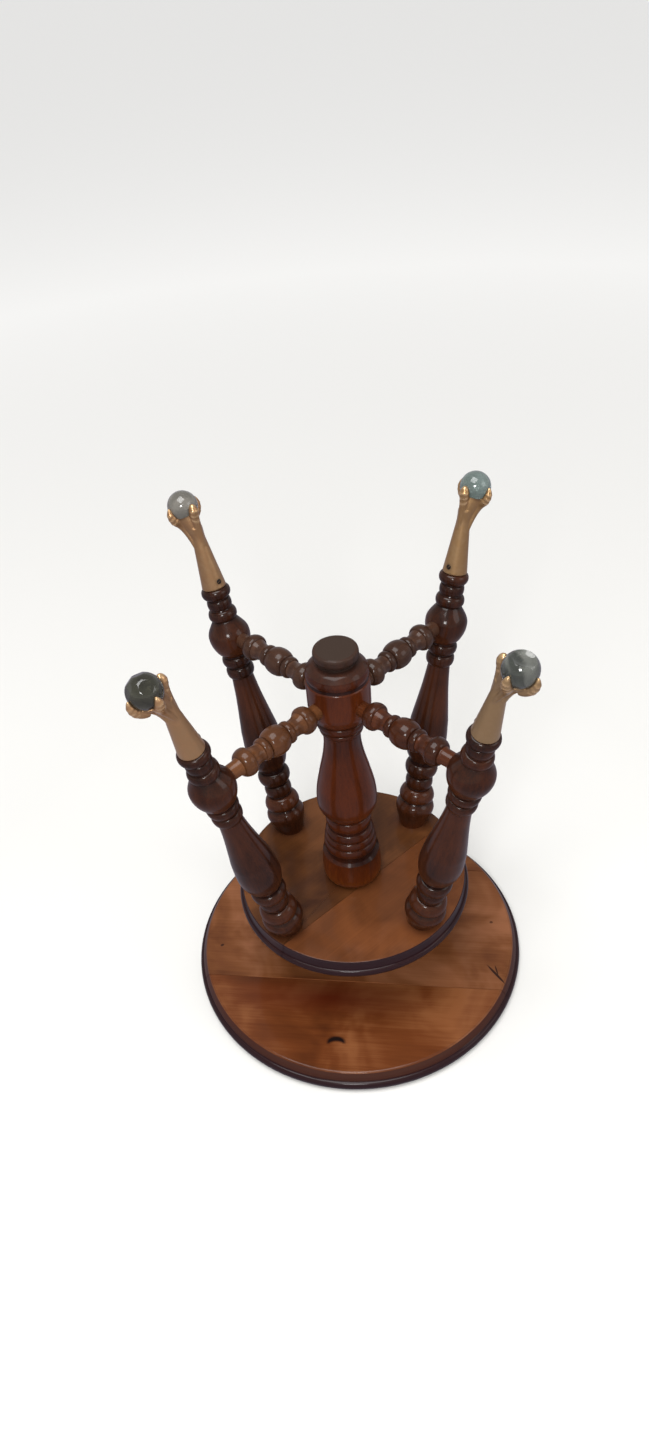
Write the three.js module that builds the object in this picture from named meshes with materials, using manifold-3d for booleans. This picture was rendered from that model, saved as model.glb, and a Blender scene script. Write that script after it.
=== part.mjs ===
// An adjustable piano stool of turned wood, standing upside down on its seat.
// Four splayed legs end in cast claws that grip glass balls, and an iron screw joins the
// round seat to the leg frame. Millimetres, +Z up, with the floor at z = 0.
import * as THREE from "three";
import { mergeVertices } from "three/addons/utils/BufferGeometryUtils.js";
import Module from "manifold-3d";

const wasm = await Module();
wasm.setup();

// Driving dimensions
const FIT = 0.3; // gap between two pieces that touch
const RUN = 0.5; // gap between two pieces that turn on each other

const SEAT_RADIUS = 178;
const SEAT_THICKNESS = 22;
const SEAT_SEAM_ANGLE = THREE.MathUtils.degToRad(-6.7);
const SEAT_SEAMS = [-64.5, 96]; // how far each glue line lies from the centre

const LIFT_GAP = 87.4; // from the seat to the leg plate, spun out as it stands here
const PLATE_RADIUS = 120;
const PLATE_THICKNESS = 21;
const PLATE_BOTTOM = SEAT_THICKNESS + LIFT_GAP;
const PLATE_TOP = PLATE_BOTTOM + PLATE_THICKNESS;
const PLATE_SEAM_ANGLE = THREE.MathUtils.degToRad(41.5);
const PLATE_SEAM = -22;

const SCREW_RADIUS = 11;
const SCREW_TOP = 185;
const SPIDER_THICKNESS = 4;
const SPIDER_REACH = 64;
const SPIDER_ARM_WIDTH = 20;
const SPIDER_SCREW_CIRCLE = 54;
const HUB_RADIUS = 24;
const HUB_HEIGHT = 12;
const PIN_RADIUS = 2.2;
const SPIDER_BOTTOM = SEAT_THICKNESS + FIT;
const SPIDER_TOP = SPIDER_BOTTOM + SPIDER_THICKNESS;
const PIN_HEIGHT = SPIDER_BOTTOM + HUB_HEIGHT / 2 + 1;
const NUT_RADIUS = 19;
const NUT_LENGTH = 22.5;
const HOUSING_RADIUS = 38;
const HOUSING_FLANGE = 4;
const HOUSING_SCREW_CIRCLE = 31;

const COLUMN_HEIGHT = 290;
const COLUMN_BORE_TOP = 122;
const COLUMN_TENON_RADIUS = 24;
const COLUMN_TENON = 9;
const BARREL_RADIUS = 28.8;
const NUT_TOP = PLATE_TOP - COLUMN_TENON - 2 * FIT;
const NUT_BOTTOM = NUT_TOP - NUT_LENGTH;
const HOUSING_TOP = PLATE_BOTTOM - FIT;

const LEG_COUNT = 4;
const LEG_SPLAY = THREE.MathUtils.degToRad(13.05);
const LEG_FOOT = 94.8; // where a leg's axis meets the plate, from the centre
const LEG_LENGTH = 293;
const LEG_TENON_RADIUS = 9.5;
const LEG_TENON = 15;
const PEG_LENGTH = 26; // the taper that the claw's socket slips over

const STRETCHER_HEIGHT = 367;
const STRETCHER_TENON_RADIUS = 5;
const STRETCHER_START = 20;
const STRETCHER_END = 142;

const BALL_RADIUS = 14.1;
const BALL_CENTRE = new THREE.Vector3(9.9, 0, 80.5); // from the mouth of the claw's socket
const TOE_COUNT = 4;
const TOE_THICKNESS = 3.2; // how far a toe's middle stands off the ball
const CLAW_SCREW_HEIGHT = 7;

const FINE_SIDES = 72;
const PLATE_SIDES = 48;
const ROUND_SIDES = 24;
const COLUMN_SIDES = 16;
const LEG_SIDES = 12;
const SMALL_SIDES = 8;

// Finishes
const FINISHES = {
  board: { color: 0x74431f, roughness: 0.3, metalness: 0 },
  turning: { color: 0x43201a, roughness: 0.28, metalness: 0 },
  iron: { color: 0x2c2a29, roughness: 0.6, metalness: 0.8 },
  steel: { color: 0x6b6862, roughness: 0.45, metalness: 0.9 },
  claw: { color: 0xa07c50, roughness: 0.45, metalness: 0.7 },
  glass: { color: 0x6f7a74, roughness: 0.12, metalness: 0 },
};

// An outline to turn about an axis, as points of radius and height.
class Outline {
  constructor(radius, height) {
    this.points = [new THREE.Vector2(radius, height)];
  }

  line(radius, height) {
    this.points.push(new THREE.Vector2(radius, height));
    return this;
  }

  // A half-round from the last point to this one, standing out to the crown's radius.
  bead(radius, height, crown, steps = 4) {
    const from = this.points.at(-1);
    const rise = crown - (from.x + radius) / 2;
    for (let i = 1; i <= steps; i += 1) {
      const angle = (Math.PI * i) / steps;
      const share = (1 - Math.cos(angle)) / 2;
      const r = THREE.MathUtils.lerp(from.x, radius, share) + rise * Math.sin(angle);
      this.line(r, THREE.MathUtils.lerp(from.y, height, share));
    }
    return this;
  }

  // A smooth curve from the last point through the knots given.
  curve(knots, steps) {
    const places = knots.map(([radius, height]) => new THREE.Vector2(radius, height));
    const spline = new THREE.SplineCurve([this.points.at(-1), ...places]);
    this.points.push(...spline.getPoints(steps).slice(1));
    return this;
  }

  // The same outline with every point off the axis moved outwards.
  grown(extra) {
    const copy = new Outline(0, 0);
    copy.points = this.points.map((p) => new THREE.Vector2(p.x > 0 ? p.x + extra : 0, p.y));
    return copy;
  }

  // Turned about Z.
  turned(sides) {
    return new THREE.LatheGeometry(this.points, sides).rotateX(Math.PI / 2);
  }
}

// A closed geometry as a solid that can be cut.
function solidOf(geometry) {
  const bare = new THREE.BufferGeometry();
  bare.setAttribute("position", geometry.getAttribute("position").clone());
  bare.setIndex(geometry.index ? geometry.index.clone() : null);
  const merged = mergeVertices(bare, 1e-4);
  const corners = merged.index.array;
  const kept = [];
  for (let i = 0; i < corners.length; i += 3) {
    const [a, b, c] = corners.slice(i, i + 3);
    if (a !== b && b !== c && c !== a) kept.push(a, b, c);
  }
  const vertProperties = new Float32Array(merged.getAttribute("position").array);
  const triVerts = new Uint32Array(kept);
  return new wasm.Manifold(new wasm.Mesh({ numProp: 3, vertProperties, triVerts }));
}

function geometryOf(solid) {
  const { vertProperties, triVerts } = solid.getMesh();
  const geometry = new THREE.BufferGeometry();
  geometry.setAttribute("position", new THREE.BufferAttribute(vertProperties, 3));
  geometry.setIndex(new THREE.BufferAttribute(triVerts, 1));
  geometry.computeVertexNormals();
  return geometry;
}

function cut(geometry, cutters) {
  return geometryOf(cutters.reduce((left, tool) => left.subtract(solidOf(tool)), solidOf(geometry)));
}

function join(geometries) {
  const [first, ...rest] = geometries.map(solidOf);
  return geometryOf(rest.reduce((whole, piece) => whole.add(piece), first));
}

function piece(name, geometry, finish) {
  const mesh = new THREE.Mesh(geometry, new THREE.MeshStandardMaterial(FINISHES[finish]));
  mesh.name = name;
  return mesh;
}

// A rod along Z between two heights.
function rod(radius, low, high, sides = SMALL_SIDES) {
  return new THREE.CylinderGeometry(radius, radius, high - low, sides)
    .rotateX(Math.PI / 2)
    .translate(0, 0, (low + high) / 2);
}

// The angle of one of several places spaced evenly round a circle, starting between the axes.
function placeAngle(i, count = LEG_COUNT) {
  return ((i + 0.5) * 2 * Math.PI) / count;
}

// A countersunk wood screw with its head's face at z = 0 and its point up +Z.
function woodScrew({ head, shank, length, extra = 0 }) {
  return new Outline(0, extra ? -extra : 0)
    .line(head, extra ? -extra : 0)
    .line(shank, head - shank)
    .line(shank, length - 2 * shank)
    .line(0, length + extra)
    .grown(extra)
    .turned(SMALL_SIDES);
}

const BOARD_SCREW = { head: 4.6, shank: 2.3, length: 15 };
const CLAW_SCREW = { head: 2.4, shank: 1.3, length: 8 };

// The half of the world on one side of a glue line.
function beyond(angle, offset, side) {
  const reach = 2 * SEAT_RADIUS;
  return new THREE.BoxGeometry(2 * reach, reach, reach)
    .translate(0, offset + side * (reach / 2), 0)
    .rotateZ(angle);
}

// --- Seat ---------------------------------------------------------------------

// A seat blank: sitting face down, a thumb moulding and a bead round its edge.
function seatBlank() {
  return new Outline(0, 0)
    .line(SEAT_RADIUS - 5, 0)
    .bead(SEAT_RADIUS - 3.5, 12.4, SEAT_RADIUS)
    .line(SEAT_RADIUS - 4.2, 13.4)
    .curve([[SEAT_RADIUS - 6.2, 18], [SEAT_RADIUS - 10.6, 20.8]], 3)
    .line(SEAT_RADIUS - 11.4, SEAT_THICKNESS)
    .line(0, SEAT_THICKNESS)
    .turned(FINE_SIDES);
}

function spiderScrewPlaces() {
  return Array.from({ length: 4 }, (_, i) => {
    const angle = placeAngle(i, 4);
    const place = new THREE.Vector3(Math.cos(angle), Math.sin(angle), 0);
    return place.multiplyScalar(SPIDER_SCREW_CIRCLE).setZ(SPIDER_TOP);
  });
}

function spiderScrewHoles() {
  return spiderScrewPlaces().map(({ x, y, z }) =>
    woodScrew({ ...BOARD_SCREW, extra: FIT }).rotateX(Math.PI).translate(x, y, z),
  );
}

function seatBoards() {
  const [front, back] = SEAT_SEAMS;
  const gap = FIT / 2;
  const holes = spiderScrewHoles();
  const frontCut = beyond(SEAT_SEAM_ANGLE, front - gap, 1);
  const middleCuts = [
    beyond(SEAT_SEAM_ANGLE, front + gap, -1),
    beyond(SEAT_SEAM_ANGLE, back - gap, 1),
    ...holes,
  ];
  const backCut = beyond(SEAT_SEAM_ANGLE, back + gap, -1);
  return [
    piece("seat_board_front", cut(seatBlank(), [frontCut]), "board"),
    piece("seat_board_middle", cut(seatBlank(), middleCuts), "board"),
    piece("seat_board_back", cut(seatBlank(), [backCut]), "board"),
  ];
}

// A flat bar with round ends.
function spiderBar(angle) {
  const half = SPIDER_ARM_WIDTH / 2;
  const shape = new THREE.Shape();
  shape.absarc(SPIDER_REACH - half, 0, half, -Math.PI / 2, Math.PI / 2);
  shape.absarc(half - SPIDER_REACH, 0, half, Math.PI / 2, (3 * Math.PI) / 2);
  return new THREE.ExtrudeGeometry(shape, {
    depth: SPIDER_THICKNESS,
    bevelEnabled: false,
    curveSegments: 6,
  })
    .translate(0, 0, SPIDER_BOTTOM)
    .rotateZ(angle);
}

function crossRod(radius, reach) {
  return rod(radius, -reach, reach).rotateY(Math.PI / 2).translate(0, 0, PIN_HEIGHT);
}

// The cast-iron spider that carries the screw, its screws, the screw and its cross pin.
function seatIron() {
  const hub = new Outline(0, SPIDER_BOTTOM)
    .line(HUB_RADIUS, SPIDER_BOTTOM)
    .line(HUB_RADIUS - 3, SPIDER_BOTTOM + HUB_HEIGHT)
    .line(0, SPIDER_BOTTOM + HUB_HEIGHT)
    .turned(ROUND_SIDES);
  const bore = rod(SCREW_RADIUS + FIT, 0, SCREW_TOP, ROUND_SIDES);
  const pinHole = crossRod(PIN_RADIUS + FIT, 2 * HUB_RADIUS);
  const cross = join([spiderBar(placeAngle(0, 4)), spiderBar(placeAngle(1, 4)), hub]);
  const spider = cut(cross, [bore, pinHole, ...spiderScrewHoles()]);
  const shaft = new Outline(0, SPIDER_BOTTOM)
    .line(SCREW_RADIUS, SPIDER_BOTTOM)
    .line(SCREW_RADIUS, SCREW_TOP - 3)
    .line(SCREW_RADIUS - 3, SCREW_TOP)
    .line(0, SCREW_TOP)
    .turned(ROUND_SIDES);
  const screws = spiderScrewPlaces().map((place, i) => {
    const screw = piece(`spider_screw_${i + 1}`, woodScrew(BOARD_SCREW), "steel");
    screw.position.copy(place);
    screw.rotation.x = Math.PI;
    return screw;
  });
  return [
    piece("seat_spider", spider, "iron"),
    ...screws,
    piece("lift_screw", cut(shaft, [pinHole]), "steel"),
    piece("screw_cross_pin", crossRod(PIN_RADIUS, HUB_RADIUS - 3.5), "steel"),
  ];
}

// --- Nut and leg plate --------------------------------------------------------

// The threaded bush, with its thread left plain.
function liftNut() {
  const ring = new Outline(SCREW_RADIUS + RUN, NUT_BOTTOM)
    .line(NUT_RADIUS, NUT_BOTTOM)
    .line(NUT_RADIUS, NUT_TOP)
    .line(SCREW_RADIUS + RUN, NUT_TOP)
    .line(SCREW_RADIUS + RUN, NUT_BOTTOM)
    .turned(ROUND_SIDES);
  return piece("lift_nut", ring, "iron");
}

function housingScrewPlaces() {
  return Array.from({ length: 4 }, (_, i) => {
    const angle = placeAngle(i, 4);
    const place = new THREE.Vector3(Math.cos(angle), Math.sin(angle), 0);
    return place.multiplyScalar(HOUSING_SCREW_CIRCLE).setZ(HOUSING_TOP - HOUSING_FLANGE);
  });
}

function housingScrewHoles() {
  return housingScrewPlaces().map(({ x, y, z }) =>
    woodScrew({ ...BOARD_SCREW, extra: FIT }).translate(x, y, z),
  );
}

// A flanged iron cup under the plate: it holds the nut and is screwed to the wood.
function nutHousing() {
  const lip = NUT_BOTTOM - FIT;
  const cup = new Outline(SCREW_RADIUS + 2, lip - 2)
    .line(NUT_RADIUS + 4.5, lip - 2)
    .line(NUT_RADIUS + 4.5, HOUSING_TOP - HOUSING_FLANGE)
    .line(HOUSING_RADIUS, HOUSING_TOP - HOUSING_FLANGE)
    .line(HOUSING_RADIUS, HOUSING_TOP)
    .line(NUT_RADIUS + RUN, HOUSING_TOP)
    .line(NUT_RADIUS + RUN, lip)
    .line(SCREW_RADIUS + 2, lip)
    .line(SCREW_RADIUS + 2, lip - 2)
    .turned(ROUND_SIDES);
  const screws = housingScrewPlaces().map((place, i) => {
    const screw = piece(`housing_screw_${i + 1}`, woodScrew(BOARD_SCREW), "steel");
    screw.position.copy(place);
    return screw;
  });
  return [piece("nut_housing", cut(cup, housingScrewHoles()), "iron"), ...screws];
}

// The plate that carries the legs, in two boards, with its edge turned to a half-round.
function plateBoards() {
  const blank = new Outline(0, PLATE_BOTTOM)
    .line(PLATE_RADIUS - 4, PLATE_BOTTOM)
    .bead(PLATE_RADIUS - 3.2, PLATE_TOP, PLATE_RADIUS, 5)
    .line(0, PLATE_TOP)
    .turned(PLATE_SIDES);
  const tenonHole = rod(
    COLUMN_TENON_RADIUS + FIT,
    PLATE_TOP - COLUMN_TENON - FIT,
    PLATE_TOP + COLUMN_TENON,
    ROUND_SIDES,
  );
  const nutHole = rod(NUT_RADIUS + RUN, PLATE_BOTTOM - 9, PLATE_TOP, ROUND_SIDES);
  const legHoles = Array.from({ length: LEG_COUNT }, (_, i) => {
    const hole = rod(LEG_TENON_RADIUS + FIT, -LEG_TENON - FIT, LEG_TENON, LEG_SIDES);
    return fromLegFrame(hole).rotateZ(placeAngle(i));
  });
  const holes = [tenonHole, nutHole, ...legHoles, ...housingScrewHoles()];
  const gap = FIT / 2;
  const wide = cut(blank, [beyond(PLATE_SEAM_ANGLE, PLATE_SEAM + gap, -1), ...holes]);
  const narrow = cut(blank, [beyond(PLATE_SEAM_ANGLE, PLATE_SEAM - gap, 1), ...holes]);
  return [
    piece("leg_plate_board_wide", wide, "board"),
    piece("leg_plate_board_narrow", narrow, "board"),
  ];
}

// --- Column -------------------------------------------------------------------

// The hollow central column, with z = 0 on the plate's face.
function column() {
  const outline = new Outline(0, COLUMN_BORE_TOP)
    .line(SCREW_RADIUS + 1.5, COLUMN_BORE_TOP)
    .line(SCREW_RADIUS + 1.5, -COLUMN_TENON)
    .line(COLUMN_TENON_RADIUS, -COLUMN_TENON)
    .line(COLUMN_TENON_RADIUS, FIT)
    .line(25.5, FIT)
    .curve([[29.4, 8], [30, 20], [28.5, 37]], 5)
    .line(25, 40)
    .line(25, 45)
    .bead(23.5, 54.5, 26.3, 3)
    .bead(22, 63.5, 25.2, 3)
    .bead(20.5, 73, 23.6, 3)
    .line(20.5, 76)
    .bead(20.3, 89, 22.6, 3)
    .curve([[26, 97], [29.2, 107], [28.6, 124], [24.2, 147], [19.6, 168], [17.6, 183], [17.4, 197]], 8)
    .bead(18.3, 204, 20.3, 3)
    .bead(20.5, 214, 22.8, 3)
    .curve([[25, 217], [28.2, 225], [BARREL_RADIUS, 230]], 3)
    .line(BARREL_RADIUS, 257)
    .line(26.2, 261)
    .line(26.2, 263.5)
    .curve([[28.4, 267], [25.5, 272.5], [17, 276]], 4)
    .line(15.6, 277)
    .line(15.6, 278.5)
    .bead(18, COLUMN_HEIGHT, 20.4, 4)
    .line(0, COLUMN_HEIGHT)
    .turned(COLUMN_SIDES);
  const mortise = rod(STRETCHER_TENON_RADIUS + FIT, STRETCHER_START - FIT, 2 * BARREL_RADIUS);
  mortise.rotateY(Math.PI / 2).translate(0, 0, STRETCHER_HEIGHT - PLATE_TOP);
  const mortises = Array.from({ length: LEG_COUNT }, (_, i) => mortise.clone().rotateZ(placeAngle(i)));
  const mesh = piece("column", cut(outline, mortises), "turning");
  mesh.position.z = PLATE_TOP;
  return mesh;
}

// --- Legs ---------------------------------------------------------------------

// A leg is turned about +Z with z = 0 where its axis meets the plate's face.
function legOutline() {
  return new Outline(0, -6)
    .line(13.6, -6)
    .curve([[15.5, 3], [20.3, 20], [16.2, 29.5]], 5)
    .bead(11.6, 46, 18)
    .bead(11.5, 61.5, 14.2, 3)
    .bead(13, 79, 17, 3)
    .curve([[18.3, 90], [20.8, 105], [19.2, 130], [13.3, 170], [10.8, 195]], 7)
    .bead(11.2, 208, 13.8, 3)
    .bead(12.4, 220, 14.5, 3)
    .bead(12, 259, 20.4, 6)
    .bead(10.6, 270.5, 13.8, 3)
    .bead(10, 281.5, 11.8, 3)
    .bead(10.5, LEG_LENGTH, 14, 3)
    .line(0, LEG_LENGTH);
}

// Carries a geometry from the bay's frame, whose +X points out along the leg, to the leg's own.
function toLegFrame(geometry) {
  return geometry.translate(-LEG_FOOT, 0, -PLATE_TOP).rotateY(-LEG_SPLAY);
}

function fromLegFrame(geometry) {
  return geometry.rotateY(LEG_SPLAY).translate(LEG_FOOT, 0, PLATE_TOP);
}

function legGeometry() {
  const block = new THREE.BoxGeometry(80, 80, 40).translate(LEG_FOOT, 0, PLATE_TOP + FIT - 20);
  const mortise = rod(STRETCHER_TENON_RADIUS + FIT, LEG_FOOT, STRETCHER_END + FIT)
    .rotateY(Math.PI / 2)
    .translate(0, 0, STRETCHER_HEIGHT);
  const body = cut(legOutline().turned(LEG_SIDES), [toLegFrame(block), toLegFrame(mortise)]);
  const tenon = rod(LEG_TENON_RADIUS, -LEG_TENON, LEG_TENON, LEG_SIDES);
  const peg = new Outline(0, LEG_LENGTH - 3)
    .line(8.2, LEG_LENGTH - 3)
    .line(8.2, LEG_LENGTH)
    .line(5.2, LEG_LENGTH + PEG_LENGTH)
    .line(0, LEG_LENGTH + PEG_LENGTH)
    .turned(LEG_SIDES);
  const hole = clawScrew(FIT).translate(0, 0, LEG_LENGTH + FIT);
  return cut(join([body, tenon, peg]), [hole]);
}

// A stretcher is turned about its own +Z, which runs from the column's axis out to the leg.
function stretcherGeometry() {
  const middle = 78;
  const body = new Outline(0, STRETCHER_START)
    .line(7, STRETCHER_START)
    .line(7, middle - 41.5)
    .bead(7, middle - 24.5, 12.5)
    .line(7, middle - 15.5)
    .bead(7.5, middle - 9, 9.8, 3)
    .bead(7.5, middle + 9, 13)
    .bead(7, middle + 15.5, 9.8, 3)
    .line(7, middle + 24.5)
    .bead(7, middle + 41.5, 12.5)
    .line(6.4, STRETCHER_END - 6)
    .line(0, STRETCHER_END - 6)
    .turned(SMALL_SIDES);
  const along = (geometry) => geometry.translate(0, 0, -STRETCHER_HEIGHT).rotateY(-Math.PI / 2);
  const barrel = rod(BARREL_RADIUS + FIT, 0, 2 * STRETCHER_HEIGHT, ROUND_SIDES);
  const leg = fromLegFrame(legOutline().grown(FIT).turned(LEG_SIDES));
  const shaped = cut(body, [along(barrel), along(leg)]);
  const tenon = rod(STRETCHER_TENON_RADIUS, STRETCHER_START, STRETCHER_END);
  return join([shaped, tenon]);
}

// --- Claws and balls ----------------------------------------------------------

// A tapered rod that follows a curve, closed at both ends.
function taperedRod(curve, radiusAt, steps, sides) {
  const frames = curve.computeFrenetFrames(steps);
  const places = [];
  const corners = [];
  for (let i = 0; i <= steps; i += 1) {
    const middle = curve.getPointAt(i / steps);
    for (let j = 0; j < sides; j += 1) {
      const angle = (2 * Math.PI * j) / sides;
      const out = frames.normals[i].clone().multiplyScalar(Math.cos(angle));
      out.addScaledVector(frames.binormals[i], Math.sin(angle)).multiplyScalar(radiusAt(i / steps));
      places.push(...middle.clone().add(out).toArray());
      if (i < steps) {
        const here = i * sides + j;
        const next = i * sides + ((j + 1) % sides);
        corners.push(here, next, next + sides, here, next + sides, here + sides);
      }
    }
  }
  for (let j = 1; j < sides - 1; j += 1) {
    const end = steps * sides;
    corners.push(0, j + 1, j, end, end + j, end + j + 1);
  }
  const geometry = new THREE.BufferGeometry();
  geometry.setAttribute("position", new THREE.Float32BufferAttribute(places, 3));
  geometry.setIndex(corners);
  return geometry;
}

function ball(extra = 0) {
  return new THREE.SphereGeometry(BALL_RADIUS + extra, 12, 8)
    .rotateX(Math.PI / 2)
    .translate(...BALL_CENTRE.toArray());
}

// The socket: a tapered tube that slips over the leg's peg and narrows to an ankle.
function clawSocket() {
  return new Outline(0, PEG_LENGTH + FIT)
    .line(5.2 + FIT, PEG_LENGTH + FIT)
    .line(8.2 + FIT, 0)
    .line(11.1, 0)
    .line(11.6, 1.4)
    .curve([[9.4, 22], [7, 42], [6, 52], [6.2, 60]], 4)
    .line(0, 60)
    .turned(LEG_SIDES);
}

// The palm swells from the ankle out to the underside of the ball.
function clawPalm() {
  const { x, z } = BALL_CENTRE;
  const spine = new THREE.CatmullRomCurve3([
    new THREE.Vector3(0, 0, 50),
    new THREE.Vector3(1.5, 0, 60),
    new THREE.Vector3(x - 1, 0, z - 7),
  ]);
  return taperedRod(spine, (t) => THREE.MathUtils.lerp(5.9, 11.6, t * t), 3, 10);
}

// A toe curls from under the ball up past its middle, with two knuckles and a pointed nail.
function clawToe(turn) {
  const reach = BALL_RADIUS + TOE_THICKNESS;
  const places = [];
  for (let degrees = 20; degrees <= 100; degrees += 16) {
    const up = THREE.MathUtils.degToRad(degrees);
    const out = reach * Math.sin(up);
    const place = new THREE.Vector3(out * Math.cos(turn), out * Math.sin(turn), -reach * Math.cos(up));
    places.push(place.add(BALL_CENTRE));
  }
  const spine = new THREE.CatmullRomCurve3(places);
  const radiusAt = (t) => (1 - 0.72 * t ** 6) * (3.7 + 0.45 * Math.cos(6 * Math.PI * t));
  return taperedRod(spine, radiusAt, 6, 5);
}

// The screw through the socket's inner side into the peg.
function clawScrew(extra = 0) {
  return woodScrew({ ...CLAW_SCREW, extra }).rotateY(Math.PI / 2).translate(-10.7, 0, CLAW_SCREW_HEIGHT);
}

function clawGeometry() {
  const toes = Array.from({ length: TOE_COUNT }, (_, i) => clawToe((i * 2 * Math.PI) / TOE_COUNT));
  return cut(join([clawSocket(), clawPalm(), ...toes]), [ball(FIT), clawScrew(FIT)]);
}

// --- Assembly -----------------------------------------------------------------

// One bay of the leg frame: a leg with its claw, ball and screw, and a stretcher, along +X.
function bay(i, shapes) {
  const group = new THREE.Group();
  group.rotation.z = placeAngle(i);

  const line = new THREE.Group();
  line.position.set(LEG_FOOT, 0, PLATE_TOP);
  line.rotation.y = LEG_SPLAY;
  const foot = new THREE.Group();
  foot.position.z = LEG_LENGTH + FIT;
  foot.add(
    piece(`claw_${i + 1}`, shapes.claw, "claw"),
    piece(`glass_ball_${i + 1}`, shapes.ball, "glass"),
    piece(`claw_screw_${i + 1}`, shapes.clawScrew, "iron"),
  );
  line.add(piece(`leg_${i + 1}`, shapes.leg, "turning"), foot);

  const stretcher = piece(`stretcher_${i + 1}`, shapes.stretcher, "turning");
  stretcher.position.z = STRETCHER_HEIGHT;
  stretcher.rotation.y = Math.PI / 2;
  group.add(line, stretcher);
  return group;
}

const shapes = {
  leg: legGeometry(),
  stretcher: stretcherGeometry(),
  claw: clawGeometry(),
  ball: ball(),
  clawScrew: clawScrew(),
};

const stool = new THREE.Group();
stool.name = "piano_stool";
stool.add(...seatBoards(), ...seatIron(), liftNut(), ...nutHousing(), ...plateBoards(), column());
for (let i = 0; i < LEG_COUNT; i += 1) {
  stool.add(bay(i, shapes));
}

export default stool;
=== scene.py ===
"""An upturned piano stool: fine turned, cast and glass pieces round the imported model.

Lengths are millimetres in the classes and metres in Blender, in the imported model's frame: the
floor is z = 0, the stool stands on its seat, and +Z runs up the lift screw towards the feet.
"""

import logging
import math
from dataclasses import dataclass, field
from enum import Enum

import bmesh
import bpy
import numpy as np
from mathutils import Matrix, Vector


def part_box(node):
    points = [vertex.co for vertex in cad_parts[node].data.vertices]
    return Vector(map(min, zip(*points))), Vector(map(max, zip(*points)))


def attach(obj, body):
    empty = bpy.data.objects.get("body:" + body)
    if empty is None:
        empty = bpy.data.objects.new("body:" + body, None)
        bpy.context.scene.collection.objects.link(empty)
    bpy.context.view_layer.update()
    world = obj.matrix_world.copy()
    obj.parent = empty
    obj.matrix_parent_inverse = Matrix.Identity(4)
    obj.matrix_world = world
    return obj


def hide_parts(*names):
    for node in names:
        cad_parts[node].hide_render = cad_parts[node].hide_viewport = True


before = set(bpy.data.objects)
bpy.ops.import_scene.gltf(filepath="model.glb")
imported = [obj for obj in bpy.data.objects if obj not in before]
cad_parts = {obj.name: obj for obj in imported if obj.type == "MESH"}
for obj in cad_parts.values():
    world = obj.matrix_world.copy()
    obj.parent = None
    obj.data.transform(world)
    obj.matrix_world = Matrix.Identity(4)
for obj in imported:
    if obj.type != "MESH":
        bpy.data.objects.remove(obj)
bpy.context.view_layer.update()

MM = 0.001
LOG = logging.getLogger("stool")
# The angles in degrees above which an edge stays sharp.
SHARP_GLASS = 25.0
SHARP_SAWN = 30.0
SHARP_MACHINED = 35.0
SHARP_TURNED = 40.0
SHARP_CAST = 50.0
SHELLAC_IOR = 1.5
SHELLAC_ROUGHNESS = 0.09
GLASS_IOR = 1.5


# --- Colour and node helpers -----------------------------------------------------


def linear(code: str) -> tuple[float, float, float, float]:
    """Turns an sRGB hex colour such as "#7A4A2C" into the linear values that shaders use.

    Args:
        code: the colour.

    Returns:
        Red, green, blue and an opacity of 1.
    """
    parts = [int(code[i : i + 2], 16) / 255 for i in (1, 3, 5)]
    light = [p / 12.92 if p <= 0.04045 else ((p + 0.055) / 1.055) ** 2.4 for p in parts]
    return light[0], light[1], light[2], 1.0


def cycles(size_mm: float) -> float:
    """Gives a pattern's scale from the size of its features in millimetres."""
    return 1 / (size_mm * MM)


class Nodes:
    """A node tree being filled."""

    def __init__(self, tree: bpy.types.NodeTree) -> None:
        """Starts filling a tree."""
        self.tree = tree

    def feed(self, socket: bpy.types.NodeSocket, value: object) -> None:
        """Links an input to the socket that feeds it, or sets it to a number or a hex colour.

        Args:
            socket: the input.
            value: a socket, a number or a hex colour.
        """
        if isinstance(value, bpy.types.NodeSocket):
            self.tree.links.new(value, socket)
        else:
            socket.default_value = linear(value) if isinstance(value, str) else value

    def add(
        self,
        kind: str,
        values: dict[str | int, object] | None = None,
        out: str | int = 0,
        stops: tuple[tuple[float, str], ...] = (),
        **settings: object,
    ) -> bpy.types.NodeSocket | None:
        """Adds one node with its settings and links.

        Args:
            kind: the node's type, without the "ShaderNode" in front.
            values: input name or number to its value, or to the socket that feeds it.
            out: the name or number of the output to give back.
            stops: places and hex colours along a colour ramp.
            settings: the node's own properties, such as operation.

        Returns:
            The chosen output, or None where the node has none.
        """
        node = self.tree.nodes.new(f"ShaderNode{kind}")
        for name, value in settings.items():
            setattr(node, name, value)
        for name, value in (values or {}).items():
            self.feed(node.inputs[name], value)
        for i, (place, colour) in enumerate(stops):
            marks = node.color_ramp.elements
            mark = marks[i] if i < 2 else marks.new(place)
            mark.position = place
            mark.color = linear(colour)
        return node.outputs[out] if node.outputs else None

    def add_up(
        self, start: object, parts: tuple[tuple[bpy.types.NodeSocket, float], ...]
    ) -> bpy.types.NodeSocket:
        """Adds patterns to a starting value, each by its share.

        Args:
            start: the value or socket to start from.
            parts: the patterns and their shares.

        Returns:
            The sum.
        """
        for pattern, share in parts:
            start = self.add("Math", {0: pattern, 1: share, 2: start}, operation="MULTIPLY_ADD")
        return start


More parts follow.
